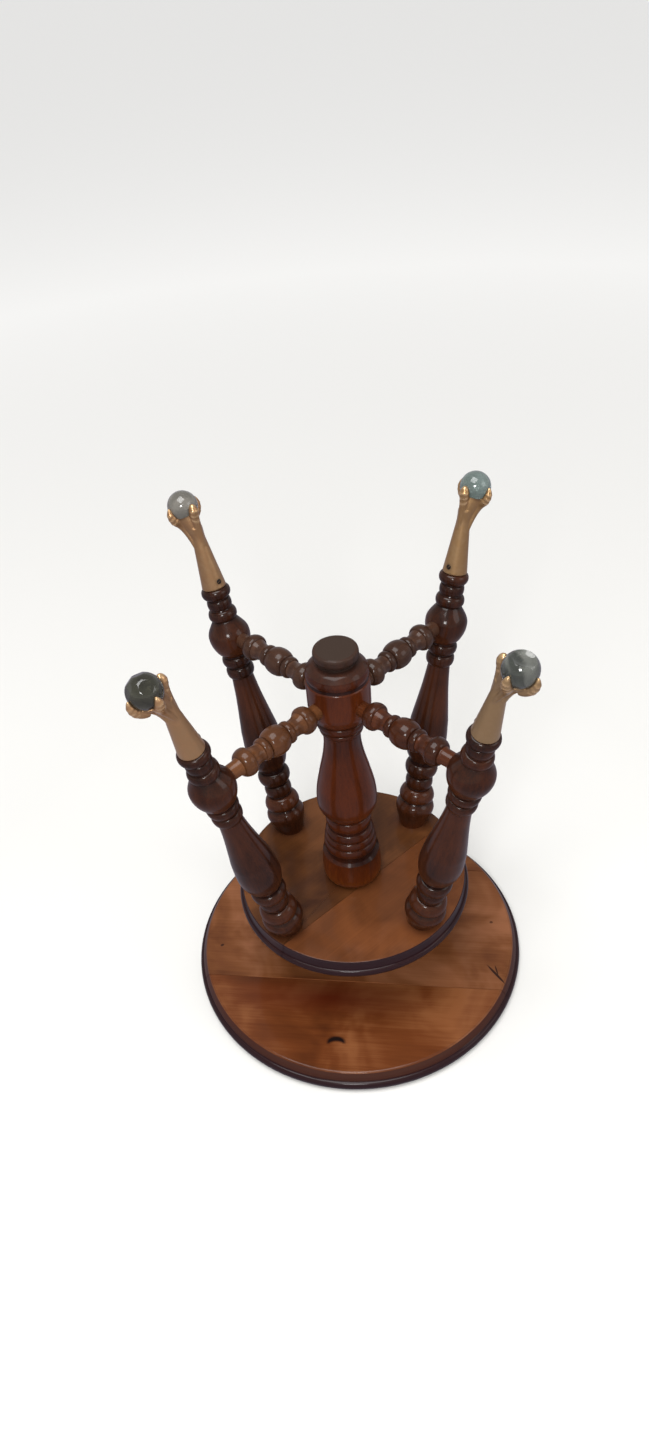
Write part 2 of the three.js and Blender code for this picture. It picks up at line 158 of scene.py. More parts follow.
class Surface(Nodes):
    """A material being made: its nodes and its surface shader."""

    def __init__(self, name: str) -> None:
        """Starts a material with only its surface shader.

        Args:
            name: the material's name.
        """
        self.material = bpy.data.materials.new(name)
        self.material.use_nodes = True
        super().__init__(self.material.node_tree)
        self.tree.nodes.clear()
        skin = self.add("BsdfPrincipled", out="BSDF")
        self.shader = skin.node
        self.add("OutputMaterial", {"Surface": skin})

    def dress(self, **values: object) -> bpy.types.Material:
        """Feeds the shader's own sockets, written with _ for a space.

        Args:
            values: socket name to a number, a hex colour or the socket that feeds it.

        Returns:
            The finished material.
        """
        for name, value in values.items():
            self.feed(self.shader.inputs[name.replace("_", " ")], value)
        return self.material


# --- Finishes --------------------------------------------------------------------


@dataclass(frozen=True)
class Mark:
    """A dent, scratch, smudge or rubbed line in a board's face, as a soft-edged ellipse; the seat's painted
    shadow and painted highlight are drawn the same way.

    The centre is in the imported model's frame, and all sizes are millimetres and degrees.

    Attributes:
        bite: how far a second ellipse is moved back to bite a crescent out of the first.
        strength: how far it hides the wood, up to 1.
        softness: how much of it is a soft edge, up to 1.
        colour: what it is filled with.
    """

    x: float
    y: float
    half_length: float
    half_width: float
    angle: float = 0.0
    bite: float = 0.0
    strength: float = 1.0
    softness: float = 0.3
    colour: str = "#140B09"

    def cover(self, nodes: Surface, colour: bpy.types.NodeSocket) -> bpy.types.NodeSocket:
        """Lays the mark over a colour.

        Args:
            nodes: the material being made.
            colour: the colour so far.

        Returns:
            The colour with the mark in it.
        """
        where = nodes.add("TexCoord", out="Object")
        # The mark ends a tenth past its nominal edge, so that a soft one still reaches it.
        fade = {"From Min": 1.1 * (1 - self.softness), "From Max": 1.1, "To Min": self.strength}
        masks = []
        for shift in (0.0, self.bite):
            fit = {
                "Location": (self.x * MM, (self.y - shift) * MM, 0.0),
                "Rotation": (0.0, 0.0, math.radians(self.angle)),
                "Scale": (self.half_length * MM, self.half_width * MM, 1e3),
            }
            turned = nodes.add("Mapping", {"Vector": where, **fit}, vector_type="TEXTURE")
            far = nodes.add("VectorMath", {0: turned}, "Value", operation="LENGTH")
            masks.append(nodes.add("MapRange", {"Value": far, "To Max": 0.0, **fade}))
        strength = masks[0]
        if self.bite:
            strength = nodes.add("Math", {0: strength, 1: masks[1]}, operation="SUBTRACT", use_clamp=True)
        return nodes.add("Mix", {0: strength, 6: colour, 7: self.colour}, 2, data_type="RGBA")


@dataclass(frozen=True)
class ShellacOnBoard:
    """Stained softwood board, planed and French polished with shellac.

    Planing leaves straight grain 1 to 3 mm apart, the stain soaks in unevenly in patches 60 to
    100 mm wide, and the polish lies over it as a clear, glossy skin with a faint ripple.
    """

    name: str
    light: str
    middle: str
    dark: str
    rim_band: str = "#371B11"
    rim: str = "#210E11"
    patch_mm: float = 75.0
    grain_mm: float = 2.2
    ring_grains: float = 14.0
    grain_depth_mm: float = 0.06
    polish: float = 0.26
    marks: tuple[Mark, ...] = ()

    def material(self) -> bpy.types.Material:
        """Builds the board's material.

        Returns:
            The material.
        """
        nodes = Surface(self.name)
        place = nodes.add("Attribute", out="Vector", attribute_name="local")
        stain = nodes.add("Attribute", out="Fac", attribute_name="stain")
        broad = {"Scale": cycles(self.patch_mm), "Detail": 3.0, "Roughness": 0.55, "Distortion": 0.6}
        patches = nodes.add("TexNoise", {"Vector": place, **broad})
        # Grain lines run the board's length, so the pattern is stretched 25 times along it.
        along = nodes.add("Mapping", {"Vector": place, "Scale": (0.04, 1.0, 0.3)})
        fine = {"Scale": cycles(self.grain_mm), "Detail": 5.0, "Roughness": 0.65, "Distortion": 0.4}
        grain = nodes.add("TexNoise", {"Vector": along, **fine})
        wide = {"Scale": cycles(self.ring_grains * self.grain_mm), "Detail": 2.0, "Distortion": 0.8}
        rings = nodes.add("TexNoise", {"Vector": along, **wide})
        tone = nodes.add_up(0.0, ((patches, 0.62), (rings, 0.26), (grain, 0.14)))
        stops = ((0.34, self.dark), (0.62, self.light), (0.49, self.middle))
        face = nodes.add("ValToRGB", {"Fac": tone}, stops=stops)
        edge = nodes.add("ValToRGB", {"Fac": stain}, stops=((0.3, self.rim_band), (1.0, self.rim)))
        on_edge = nodes.add("MapRange", {"Value": stain, "From Min": 0.1, "From Max": 0.3})
        colour = nodes.add("Mix", {0: on_edge, 6: face, 7: edge}, 2, data_type="RGBA")
        for mark in self.marks:
            colour = mark.cover(nodes, colour)
        uneven = {"From Min": 0.35, "From Max": 0.65, "To Min": 0.32, "To Max": 0.46}
        rough = nodes.add("MapRange", {"Value": patches, **uneven})
        ripple = {"Height": grain, "Strength": 0.25, "Distance": self.grain_depth_mm * MM}
        nodes.dress(Base_Color=colour, Roughness=rough, Normal=nodes.add("Bump", ripple))
        nodes.dress(IOR=SHELLAC_IOR, Specular_IOR_Level=0.07, Coat_Weight=self.polish)
        return nodes.dress(Coat_Roughness=SHELLAC_ROUGHNESS, Coat_IOR=SHELLAC_IOR)


@dataclass(frozen=True)
class ShellacOnTurning:
    """Hardwood turned on a lathe, stained dark red-brown and friction polished with shellac.

    The grain runs along the turning, the polish is thin and bright on the crowns, and old stain
    and wax gather nearly black in the grooves.
    """

    name: str
    pale: str
    warm: str
    dark: str
    groove: str = "#1B0E0D"
    bare: str = "#332822"
    streak_mm: float = 5.0
    pore_mm: float = 0.8
    cloud_mm: float = 45.45
    tool_line_mm: float = 1.3
    tool_depth_mm: float = 0.03
    polish: float = 0.28
    worn_polish: float = 0.03

    def material(self) -> bpy.types.Material:
        """Builds the turned wood's material.

        Returns:
            The material.
        """
        nodes = Surface(self.name)
        place = nodes.add("Attribute", out="Vector", attribute_name="local")
        stain, depth, bare = (
            nodes.add("Attribute", out="Fac", attribute_name=layer) for layer in ("stain", "groove", "bare")
        )
        # Streaks are eight times as long as they are wide.
        along = nodes.add("Mapping", {"Vector": place, "Scale": (1.0, 1.0, 0.12)})
        broad = {"Scale": cycles(self.streak_mm), "Detail": 4.0, "Roughness": 0.6, "Distortion": 0.3}
        streaks = nodes.add("TexNoise", {"Vector": along, **broad})
        # Open pores are hair-fine, so they are drawn four times as coarse to show at all.
        hairs = nodes.add("Mapping", {"Vector": place, "Scale": (1.0, 1.0, 0.05)})
        fine = {"Scale": cycles(self.pore_mm), "Detail": 2.0, "Roughness": 0.7}
        pores = nodes.add("TexNoise", {"Vector": hairs, **fine})
        clouds = nodes.add("TexNoise", {"Vector": place, "Scale": cycles(self.cloud_mm), "Detail": 2.0})
        tone = nodes.add_up(stain, ((streaks, 0.34), (clouds, 0.5), (pores, 0.3)))
        # The patterns average 0.57, which is taken off again so that the stain sets the tone.
        centred = nodes.add("Math", {0: tone, 1: 0.57}, operation="SUBTRACT")
        stops = ((0.12, self.pale), (0.85, self.dark), (0.45, self.warm))
        wood = nodes.add("ValToRGB", {"Fac": centred}, stops=stops)
        filled = nodes.add("Mix", {0: depth, 6: wood, 7: self.groove}, 2, data_type="RGBA")
        colour = nodes.add("Mix", {0: bare, 6: filled, 7: self.bare}, 2, data_type="RGBA")
        rough = nodes.add("MapRange", {"Value": bare, "To Min": 0.32, "To Max": 0.62})
        coat = nodes.add("MapRange", {"Value": bare, "To Min": self.polish, "To Max": self.worn_polish})
        bands = {"Scale": 0.32 * cycles(self.tool_line_mm), "Distortion": 1.5, "Detail": 1.0}
        lines = nodes.add("TexWave", {"Vector": place, **bands}, "Fac", bands_direction="Z")
        cuts = {"Height": lines, "Strength": 0.1, "Distance": self.tool_depth_mm * MM}
        nodes.dress(Base_Color=colour, Roughness=rough, Normal=nodes.add("Bump", cuts))
        nodes.dress(IOR=SHELLAC_IOR, Specular_IOR_Level=0.06, Coat_Weight=coat)
        return nodes.dress(Coat_Roughness=SHELLAC_ROUGHNESS, Coat_IOR=SHELLAC_IOR)


@dataclass(frozen=True)
class SandCastIron:
    """Grey iron, sand cast and blackened, with a grainy skin and a little brown rust."""

    name: str = "sand_cast_iron"
    skin: str = "#2B2826"
    rust: str = "#4A2E1E"
    grit_mm: float = 0.9
    bloom_mm: float = 22.22
    grit_depth_mm: float = 0.12

    def material(self) -> bpy.types.Material:
        """Builds the iron's material.

        Returns:
            The material.
        """
        nodes = Surface(self.name)
        place = nodes.add("TexCoord", out="Object")
        grit = nodes.add("TexNoise", {"Vector": place, "Scale": cycles(self.grit_mm), "Detail": 3.0})
        blooms = nodes.add("TexNoise", {"Vector": place, "Scale": cycles(self.bloom_mm), "Detail": 5.0})
        colour = nodes.add("ValToRGB", {"Fac": blooms}, stops=((0.5, self.skin), (0.72, self.rust)))
        bump = nodes.add("Bump", {"Height": grit, "Strength": 0.5, "Distance": self.grit_depth_mm * MM})
        return nodes.dress(Base_Color=colour, Normal=bump, Metallic=0.7, Roughness=0.58)


@dataclass(frozen=True)
class AgedSteel:
    """Mild steel cut on a lathe, gone grey-brown with handling and old grease."""

    name: str = "aged_steel"
    clean: str = "#8C867D"
    stained: str = "#4B433B"
    bloom_mm: float = 12.0

    def material(self) -> bpy.types.Material:
        """Builds the steel's material.

        Returns:
            The material.
        """
        nodes = Surface(self.name)
        place = nodes.add("TexCoord", out="Object")
        blooms = nodes.add("TexNoise", {"Vector": place, "Scale": cycles(self.bloom_mm), "Detail": 6.0})
        colour = nodes.add("ValToRGB", {"Fac": blooms}, stops=((0.35, self.clean), (0.65, self.stained)))
        uneven = {"From Min": 0.35, "From Max": 0.65, "To Min": 0.3, "To Max": 0.5}
        rough = nodes.add("MapRange", {"Value": blooms, **uneven})
        return nodes.dress(Base_Color=colour, Roughness=rough, Metallic=0.95)


@dataclass(frozen=True)
class BronzePaint:
    """Cast metal brushed with gold-bronze paint.

    The flake in the paint gives a soft metallic sheen rather than a mirror, handling has worn
    the knuckles and the rim brighter, and dirt dulls the hollows.
    """

    name: str
    paint: str
    worn: str = "#C8A67C"
    dirt: str = "#4E3827"
    brush_mm: float = 6.25
    flake_mm: float = 0.8
    flake_depth_mm: float = 0.05

    def material(self) -> bpy.types.Material:
        """Builds the painted metal's material.

        Returns:
            The material.
        """
        nodes = Surface(self.name)
        place = nodes.add("Attribute", out="Vector", attribute_name="local")
        broad = {"Scale": cycles(self.brush_mm), "Detail": 4.0, "Roughness": 0.6}
        brush = nodes.add("TexNoise", {"Vector": place, **broad})
        flakes = nodes.add("TexNoise", {"Vector": place, "Scale": cycles(self.flake_mm), "Detail": 1.0})
        spread = {"From Min": 0.38, "From Max": 0.62, "To Min": -0.12, "To Max": 0.12}
        uneven = nodes.add("MapRange", {"Value": brush, **spread})
        worn, dirty = (
            nodes.add(
                "Math",
                {0: nodes.add("Attribute", out="Fac", attribute_name=layer), 1: uneven},
                operation="ADD",
                use_clamp=True,
            )
            for layer in ("wear", "groove")
        )
        dull = nodes.add("Mix", {0: dirty, 6: self.paint, 7: self.dirt}, 2, data_type="RGBA")
        colour = nodes.add("Mix", {0: worn, 6: dull, 7: self.worn}, 2, data_type="RGBA")
        rough = nodes.add("MapRange", {"Value": worn, "To Min": 0.36, "To Max": 0.24})
        bump = nodes.add("Bump", {"Height": flakes, "Strength": 0.2, "Distance": self.flake_depth_mm * MM})
        return nodes.dress(Base_Color=colour, Roughness=rough, Normal=bump, Metallic=0.78)


@dataclass(frozen=True)
class PressedGlass:
    """Grey-green bottle glass, pressed in a mould and fire polished, scuffed by a floor.

    Light passes through dimmed and tinted; the scuffs show as a faint matt bloom.
    """

    name: str
    tint: str
    cloud: str
    clarity: float
    scuff_mm: float = 4.0
    scuff_depth_mm: float = 0.2
    cloud_mm: float = 24.0

    def material(self) -> bpy.types.Material:
        """Builds the glass's material.

        Returns:
            The material.
        """
        nodes = Surface(self.name)
        place = nodes.add("TexCoord", out="Object")
        fine = {"Scale": cycles(self.scuff_mm), "Detail": 6.0, "Roughness": 0.7}
        scuffs = nodes.add("TexNoise", {"Vector": place, **fine})
        bloom = {"From Min": 0.5, "From Max": 0.75, "To Min": 0.04, "To Max": 0.3}
        rough = nodes.add("MapRange", {"Value": scuffs, **bloom})
        bump = nodes.add("Bump", {"Height": scuffs, "Strength": 0.15, "Distance": self.scuff_depth_mm * MM})
        broad = {"Scale": cycles(self.cloud_mm), "Detail": 2.0, "Distortion": 0.8}
        clouds = nodes.add("TexNoise", {"Vector": place, **broad})
        body = nodes.add("ValToRGB", {"Fac": clouds}, stops=((0.42, self.tint), (0.66, self.cloud)))
        nodes.dress(Base_Color=body, Roughness=rough, Normal=bump)
        return nodes.dress(IOR=GLASS_IOR, Transmission_Weight=self.clarity)


@dataclass(frozen=True)
class PaleFloor:
    """A plain matt floor, rolled with near-white paint and lit more and more further out.

    Attributes:
        glow_start: the distance in metres from the stool where the extra light begins.
        glow_end: the distance in metres where it is full.
        glow: how strong it is there.
    """

    name: str = "pale_floor"
    paint: str = "#DAD9D6"
    roller_mm: float = 3.33
    roller_depth_mm: float = 0.1
    glow_start: float = 0.5
    glow_end: float = 2.4
    glow: float = 0.42

    def material(self) -> bpy.types.Material:
        """Builds the floor's material.

        Returns:
            The material.
        """
        nodes = Surface(self.name)
        place = nodes.add("TexCoord", out="Object")
        roller = nodes.add("TexNoise", {"Vector": place, "Scale": cycles(self.roller_mm), "Detail": 2.0})
        bump = nodes.add("Bump", {"Height": roller, "Strength": 0.05, "Distance": self.roller_depth_mm * MM})
        far = nodes.add("VectorMath", {0: place}, "Value", operation="LENGTH")
        reach = {"From Min": self.glow_start, "From Max": self.glow_end, "To Max": self.glow}
        nodes.dress(Emission_Strength=nodes.add("MapRange", {"Value": far, **reach}), Normal=bump)
        return nodes.dress(Base_Color=self.paint, Roughness=0.85, Emission_Color="#FFFFFF")


# --- Turning and mesh work ---------------------------------------------------------


@dataclass
class Profile:
    """An outline to turn about Z, in millimetres, with how dark it is stained and how bare.

    Attributes:
        points: radius, height, stain and bareness of each point.
        stain: stain given to the points added next, from 0, pale, to 1, dark; on the column's base and the
            legs' bulbs it also carries a painted reflection.
        bare: bareness given to the points added next, from 0, polished, to 1, bare.
    """

    points: list[tuple[float, float, float, float]] = field(default_factory=list)
    stain: float = 0.5
    bare: float = 0.0

    def line(self, radius: float, height: float) -> "Profile":
        """Adds one point."""
        self.points.append((radius, height, self.stain, self.bare))
        return self

    def tone(self, stain: float, bare: float = 0.0) -> "Profile":
        """Changes the stain and bareness from here on, with a crisp edge.

        Args:
            stain: from 0, pale, to 1, dark.
            bare: from 0, polished, to 1, bare.

        Returns:
            This profile.
        """
        self.stain, self.bare = stain, bare
        if self.points:
            radius, height = self.points[-1][:2]
            self.line(radius, height + 0.02)
        return self

    def bead(self, radius: float, height: float, crown: float, steps: int = 14) -> "Profile":
        """Adds a half-round from the last point to a new one.

        Args:
            radius: the new point's radius.
            height: the new point's height.
            crown: the bead's largest radius.
            steps: how many points it gets.

        Returns:
            This profile.
        """
        radius_0, height_0 = self.points[-1][:2]
        rise = crown - (radius_0 + radius) / 2
        for i in range(1, steps + 1):
            angle = math.pi * i / steps
            share = (1 - math.cos(angle)) / 2
            out = radius_0 + (radius - radius_0) * share + rise * math.sin(angle)
            self.line(out, height_0 + (height - height_0) * share)
        return self

    def curve(
        self, knots: list[tuple[float, float]], steps: int = 40, stain: float | None = None
    ) -> "Profile":
        """Adds a smooth curve from the last point through knots of radius and height.

        Args:
            knots: the points it passes through.
            steps: how many points it gets.
            stain: the stain at its end, which the present one shades into.

        Returns:
            This profile.
        """
        places = [np.array(p, dtype=float) for p in (self.points[-1][:2], *knots)]
        spans = [float(np.linalg.norm(q - p)) for p, q in zip(places, places[1:])]
        along = np.concatenate([[0.0], np.cumsum(spans)])
        ways = []
        for i in range(len(places)):
            low, high = max(i - 1, 0), min(i + 1, len(places) - 1)
            ways.append((places[high] - places[low]) / (along[high] - along[low]))
        first = self.stain
        for where in np.linspace(0.0, along[-1], steps + 1)[1:]:
            if stain is not None:
                self.stain = first + (stain - first) * float(where / along[-1])
            at = min(int(np.searchsorted(along, where)) - 1, len(spans) - 1)
            t = (where - along[at]) / spans[at]
            spot = (1 + 2 * t) * (1 - t) ** 2 * places[at] + t**2 * (3 - 2 * t) * places[at + 1]
            spot = spot + spans[at] * (t * (1 - t) ** 2 * ways[at] - t**2 * (1 - t) * ways[at + 1])
            self.line(float(spot[0]), float(spot[1]))
        return self

    def groove_depths(self, reach: float = 9.0, full: float = 5.0) -> list[float]:
        """Works out how deep each point lies below the crowns near it.

        Args:
            reach: how far along the axis a crown counts, in millimetres.
            full: the depth that counts as 1.

        Returns:
            A depth from 0 to 1 for each point.
        """
        radius = np.array([p[0] for p in self.points])
        height = np.array([p[1] for p in self.points])
        depths = []
        for r, h in zip(radius, height):
            lower = radius[(height < h) & (height > h - reach)]
            upper = radius[(height > h) & (height < h + reach)]
            wall = min(lower.max(initial=0.0), upper.max(initial=0.0))
            depths.append(float(np.clip((wall - r) / full, 0.0, 1.0)))
        return depths


def turn(
    profile: Profile,
    sides: int = 96,
    ring: bool = False,
    shift: float = 0.0,
    grain: float = 0.0,
) -> bmesh.types.BMesh:
    """Turns a profile about Z into a closed mesh.

    Args:
        profile: the outline, which starts and ends on the axis unless it is a ring.
        sides: how many steps go round.
        ring: whether the outline closes on itself.
        shift: how far to move the pattern's own coordinates, so that no two pieces match.
        grain: the angle in degrees that the pattern's own X is turned to.

    Returns:
        The mesh, in metres, with the layers stain, bare, groove and local.
    """
    mesh = bmesh.new()
    stain = mesh.verts.layers.float.new("stain")
    bare = mesh.verts.layers.float.new("bare")
    groove = mesh.verts.layers.float.new("groove")
    local = mesh.verts.layers.float_vector.new("local")
    to_grain = Matrix.Rotation(math.radians(-grain), 3, "Z")
    away = Vector((shift, 0.6 * shift, 0.3 * shift))
    rows = []
    for (radius, height, dark, worn), deep in zip(profile.points, profile.groove_depths()):
        row = []
        for i in range(1 if radius <= 0 else sides):
            angle = 2 * math.pi * i / sides
            place = Vector((radius * math.cos(angle), radius * math.sin(angle), height)) * MM
            vert = mesh.verts.new(place)
            vert[stain], vert[bare], vert[groove] = dark, worn, deep
            vert[local] = to_grain @ place + away
            row.append(vert)
        rows.append(row)
    pairs = list(zip(rows, rows[1:]))
    if ring:
        pairs.append((rows[-1], rows[0]))
    for low, high in pairs:
        for i in range(sides):
            j = (i + 1) % sides
            around = [low[i % len(low)], low[j % len(low)], high[j % len(high)], high[i % len(high)]]
            corners = list(dict.fromkeys(around))
            if len(corners) > 2:
                mesh.faces.new(corners)
    bmesh.ops.recalc_face_normals(mesh, faces=mesh.faces)
    return mesh


def keep_side(mesh: bmesh.types.BMesh, point: Vector, normal: Vector) -> None:
    """Saws a mesh along a plane, keeps the side behind it and closes the cut.

    Args:
        mesh: the mesh to saw.
        point: a point on the plane, in metres.
        normal: the plane's normal, which points at what is cut away.
    """
    everything = [*mesh.verts, *mesh.edges, *mesh.faces]
    cut = bmesh.ops.bisect_plane(
        mesh, geom=everything, plane_co=point, plane_no=normal, clear_outer=True
    )
    edges = [e for e in cut["geom_cut"] if isinstance(e, bmesh.types.BMEdge)]
    bmesh.ops.holes_fill(mesh, edges=edges, sides=0)


def merge(mesh: bmesh.types.BMesh, extra: bmesh.types.BMesh) -> None:
    """Adds one mesh's shapes to another's, and frees it.

    Args:
        mesh: the mesh to add to.
        extra: the mesh to add, which is freed.
    """
    data = bpy.data.meshes.new("part")
    extra.to_mesh(data)
    extra.free()
    mesh.from_mesh(data)


def as_object(name: str, mesh: bmesh.types.BMesh, crease: float = 38.0) -> bpy.types.Object:
    """Turns a mesh under work into a smooth-shaded object.

    Args:
        name: the piece's name.
        mesh: its mesh, which is freed.
        crease: the angle in degrees above which an edge stays sharp.

    Returns:
        The new object.
    """
    data = bpy.data.meshes.new(name)
    mesh.to_mesh(data)
    mesh.free()
    piece = bpy.data.objects.new(name, data)
    bpy.context.scene.collection.objects.link(piece)
    data.shade_smooth()
    data.set_sharp_from_angle(angle=math.radians(crease))
    return piece


def apply_modifiers(piece: bpy.types.Object) -> None:
    """Replaces an object's mesh by what its modifiers make of it, and removes them.

    Args:
        piece: the object.
    """
    graph = bpy.context.evaluated_depsgraph_get()
    made = bpy.data.meshes.new_from_object(piece.evaluated_get(graph))
    piece.modifiers.clear()
    piece.data = made


def carve(piece: bpy.types.Object, tool: bpy.types.Object) -> None:
    """Cuts the tool's shape out of a piece, and removes the tool.

    Args:
        piece: the piece to cut.
        tool: the shape to cut out of it.
    """
    cut = piece.modifiers.new("carve", "BOOLEAN")
    cut.object = tool
    cut.operation = "DIFFERENCE"
    cut.solver = "EXACT"
    apply_modifiers(piece)
    bpy.data.objects.remove(tool)


def tapered_rod(
    mesh: bmesh.types.BMesh, spine: list[Vector], radii: list[float], sides: int = 16
) -> None:
    """Adds a rod along a spine, closed at both ends, to a mesh.

    Args:
        mesh: the mesh to add to.
        spine: the rod's middle, in metres.
        radii: its radius at each point of the spine, in metres.
        sides: how many steps go round.
    """
    rows = []
    side = (spine[1] - spine[0]).orthogonal().normalized()
    for i, (middle, radius) in enumerate(zip(spine, radii)):
        ahead = spine[min(i + 1, len(spine) - 1)] - spine[max(i - 1, 0)]
        ahead.normalize()
        side = (side - ahead * side.dot(ahead)).normalized()
        across = ahead.cross(side)
        turns = [2 * math.pi * j / sides for j in range(sides)]
        rows.append(
            [mesh.verts.new(middle + (side * math.cos(a) + across * math.sin(a)) * radius) for a in turns]
        )
    for low, high in zip(rows, rows[1:]):
        for j in range(sides):
            k = (j + 1) % sides
            mesh.faces.new([low[j], low[k], high[k], high[j]])
    mesh.faces.new(list(reversed(rows[0])))
    mesh.faces.new(rows[-1])


def fuse(piece: bpy.types.Object, grain_mm: float, rounds: int) -> None:
    """Melts overlapping shapes into one cast skin with softened edges.

    Args:
        piece: the object whose shapes overlap.
        grain_mm: the size of the skin's faces.
        rounds: how many times it is smoothed.
    """
    remesh = piece.modifiers.new("fuse", "REMESH")
    remesh.mode = "VOXEL"
    remesh.voxel_size = grain_mm * MM
    soften = piece.modifiers.new("soften", "SMOOTH")
    soften.factor = 0.5
    soften.iterations = rounds
    apply_modifiers(piece)
    piece.data.shade_smooth()


class Slot(Enum):
    """Names for the material slots."""

    SEAT_WOOD = "seat_wood"
    PLATE_WOOD = "plate_wood"
    TURNED_WOOD = "turned_wood"
    CAST_IRON = "cast_iron"
    STEEL = "steel"
    CLAW_METAL = "claw_metal"
    BALL_GLASS = "ball_glass"
    DARK_SCREW = "dark_screw"


class Body(Enum):
    """The bodies that move on their own."""

    SEAT = "seat"
    NUT = "nut_carrier"
    FRAME = "leg_frame"


def place_piece(
    piece: bpy.types.Object, material: bpy.types.Material, body: Body, node: str
) -> bpy.types.Object:
    """Dresses a piece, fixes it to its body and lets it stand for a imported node.

    Args:
        piece: the finished piece, in place.
        material: its finish.
        body: what it moves with.
        node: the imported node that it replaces.

    Returns:
        The piece.
    """
    piece.data.materials.clear()
    piece.data.materials.append(material)
    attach(piece, body.value)
    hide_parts(node)
    LOG.info("%s: %d vertices, in place of %s", piece.name, len(piece.data.vertices), node)
    return piece


def frame_box(node: str) -> tuple[Vector, Vector]:
    """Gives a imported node's lowest and highest corners in millimetres."""
    low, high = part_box(node)
    return Vector(low) / MM, Vector(high) / MM


# --- Wood screws -------------------------------------------------------------------


@dataclass(frozen=True)
class WoodScrew:
    """A countersunk screw with a slotted head, its face at z = 0 and its point up +Z.

    Sizes are millimetres.
    """

    head: float
    shank: float
    length: float
    slot_width: float
    slot_depth: float

    def build(self, name: str, place: Matrix, slot_angle: float) -> bpy.types.Object:
        """Turns the screw, saws its slot and puts it in place.

        Args:
            name: the piece's name.
            place: where the head's face goes.
            slot_angle: how far the slot is turned, in degrees.

        Returns:
            The screw.
        """
        profile = Profile().line(0, 0).line(self.head - 0.3, 0).bead(self.head - 0.1, 0.5, self.head, 4)
        profile.line(self.shank, self.head - self.shank + 0.5)
        profile.line(self.shank, self.length - 2 * self.shank).line(0, self.length)
        screw = as_object(name, turn(profile, 32))
        groove = bmesh.new()
        size = (3 * self.head, self.slot_width, 2 * self.slot_depth)
        bmesh.ops.create_cube(groove, size=1.0, matrix=Matrix.Diagonal((*size, 1.0)))
        bmesh.ops.scale(groove, vec=(MM, MM, MM), verts=groove.verts)
        carve(screw, as_object(f"{name}_saw", groove))
        screw.data.transform(place @ Matrix.Rotation(math.radians(slot_angle), 4, "Z"))
        screw.data.shade_smooth()
        screw.data.set_sharp_from_angle(angle=math.radians(SHARP_MACHINED))
        return screw


BOARD_SCREW = WoodScrew(head=4.6, shank=2.3, length=15, slot_width=1.0, slot_depth=0.9)
CLAW_SCREW = WoodScrew(head=2.4, shank=1.3, length=8, slot_width=0.6, slot_depth=0.5)
SCREW_SLOT_ANGLES = (20.0, 75.0, 130.0, 165.0)


def corner_turn(i: int) -> Matrix:
    """Gives the turn about Z to corner i, of four spaced evenly from 45 degrees."""
    return Matrix.Rotation(math.radians(45.0 + 90.0 * i), 4, "Z")


def moved(out: float, height: float) -> Matrix:
    """Gives a move along X and Z, from millimetres."""
    return Matrix.Translation((out * MM, 0.0, height * MM))


def set_board_screws(
    node: str,
    circle: float,
    height: float,
    flip: Matrix,
    angles: tuple[float, ...],
    body: Body,
    steel: bpy.types.Material,
) -> None:
    """Sets four wood screws in a casting, one at each corner.

    Args:
        node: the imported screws' name without its number.
        circle: their distance from the axis.
        height: where their heads' faces lie.
        flip: the turn that points them into the wood.
        angles: how far each one's slot is turned, in degrees.
        body: what they move with.
        steel: their material.
    """
    for i, angle in enumerate(angles):
        place = corner_turn(i) @ moved(circle, height) @ flip
        screw = BOARD_SCREW.build(f"{node}_{i + 1}_steel", place, angle)
        place_piece(screw, steel, body, f"{node}_{i + 1}")


# --- Boards: the seat and the leg plate --------------------------------------------


@dataclass(frozen=True)
class Board:
    """One board of a glued-up round blank: what lies between two parallel glue lines."""

    node: str
    near: float | None
    far: float | None
    finish: ShellacOnBoard


# How squarely a sawn face looks across the cut, and how near the line it lies in metres.
FACES_THE_SAW = 0.999
ON_THE_LINE = 1e-6


def saw_boards(
    profile: Profile,
    boards: list[Board],
    seam_angle: float,
    body: Body,
    glue_gap: float = 0.1,
    ease: float = 0.35,
) -> None:
    """Turns a round blank and divides it into its boards, with eased edges at the glue lines.

    Args:
        profile: the blank's outline.
        boards: the boards, with their glue lines' distances from the centre.
        seam_angle: the glue lines' angle in degrees.
        body: what the boards move with.
        glue_gap: the width of a glue line in millimetres.
        ease: how much is taken off a board's edge, in millimetres.
    """
    angle = math.radians(seam_angle)
    across = Vector((-math.sin(angle), math.cos(angle), 0.0))
    for i, board in enumerate(boards):
        mesh = turn(profile, 192, shift=0.37 * i, grain=seam_angle)
        for offset, side in ((board.near, -1.0), (board.far, 1.0)):
            if offset is not None:
                saw_line = (offset - side * glue_gap / 2) * MM
                keep_side(mesh, across * saw_line, across * side)
                mesh.normal_update()
                flat = [f for f in mesh.faces if f.normal.dot(across * side) > FACES_THE_SAW]
                sawn = [f for f in flat if abs(f.calc_center_median().dot(across) - saw_line) < ON_THE_LINE]
                edges = list({e for f in sawn for e in f.edges})
                bmesh.ops.bevel(mesh, geom=edges, offset=ease * MM, segments=2, affect="EDGES")
        piece = as_object(f"{board.node}_wood", mesh, SHARP_SAWN)
        place_piece(piece, board.finish.material(), body, board.node)


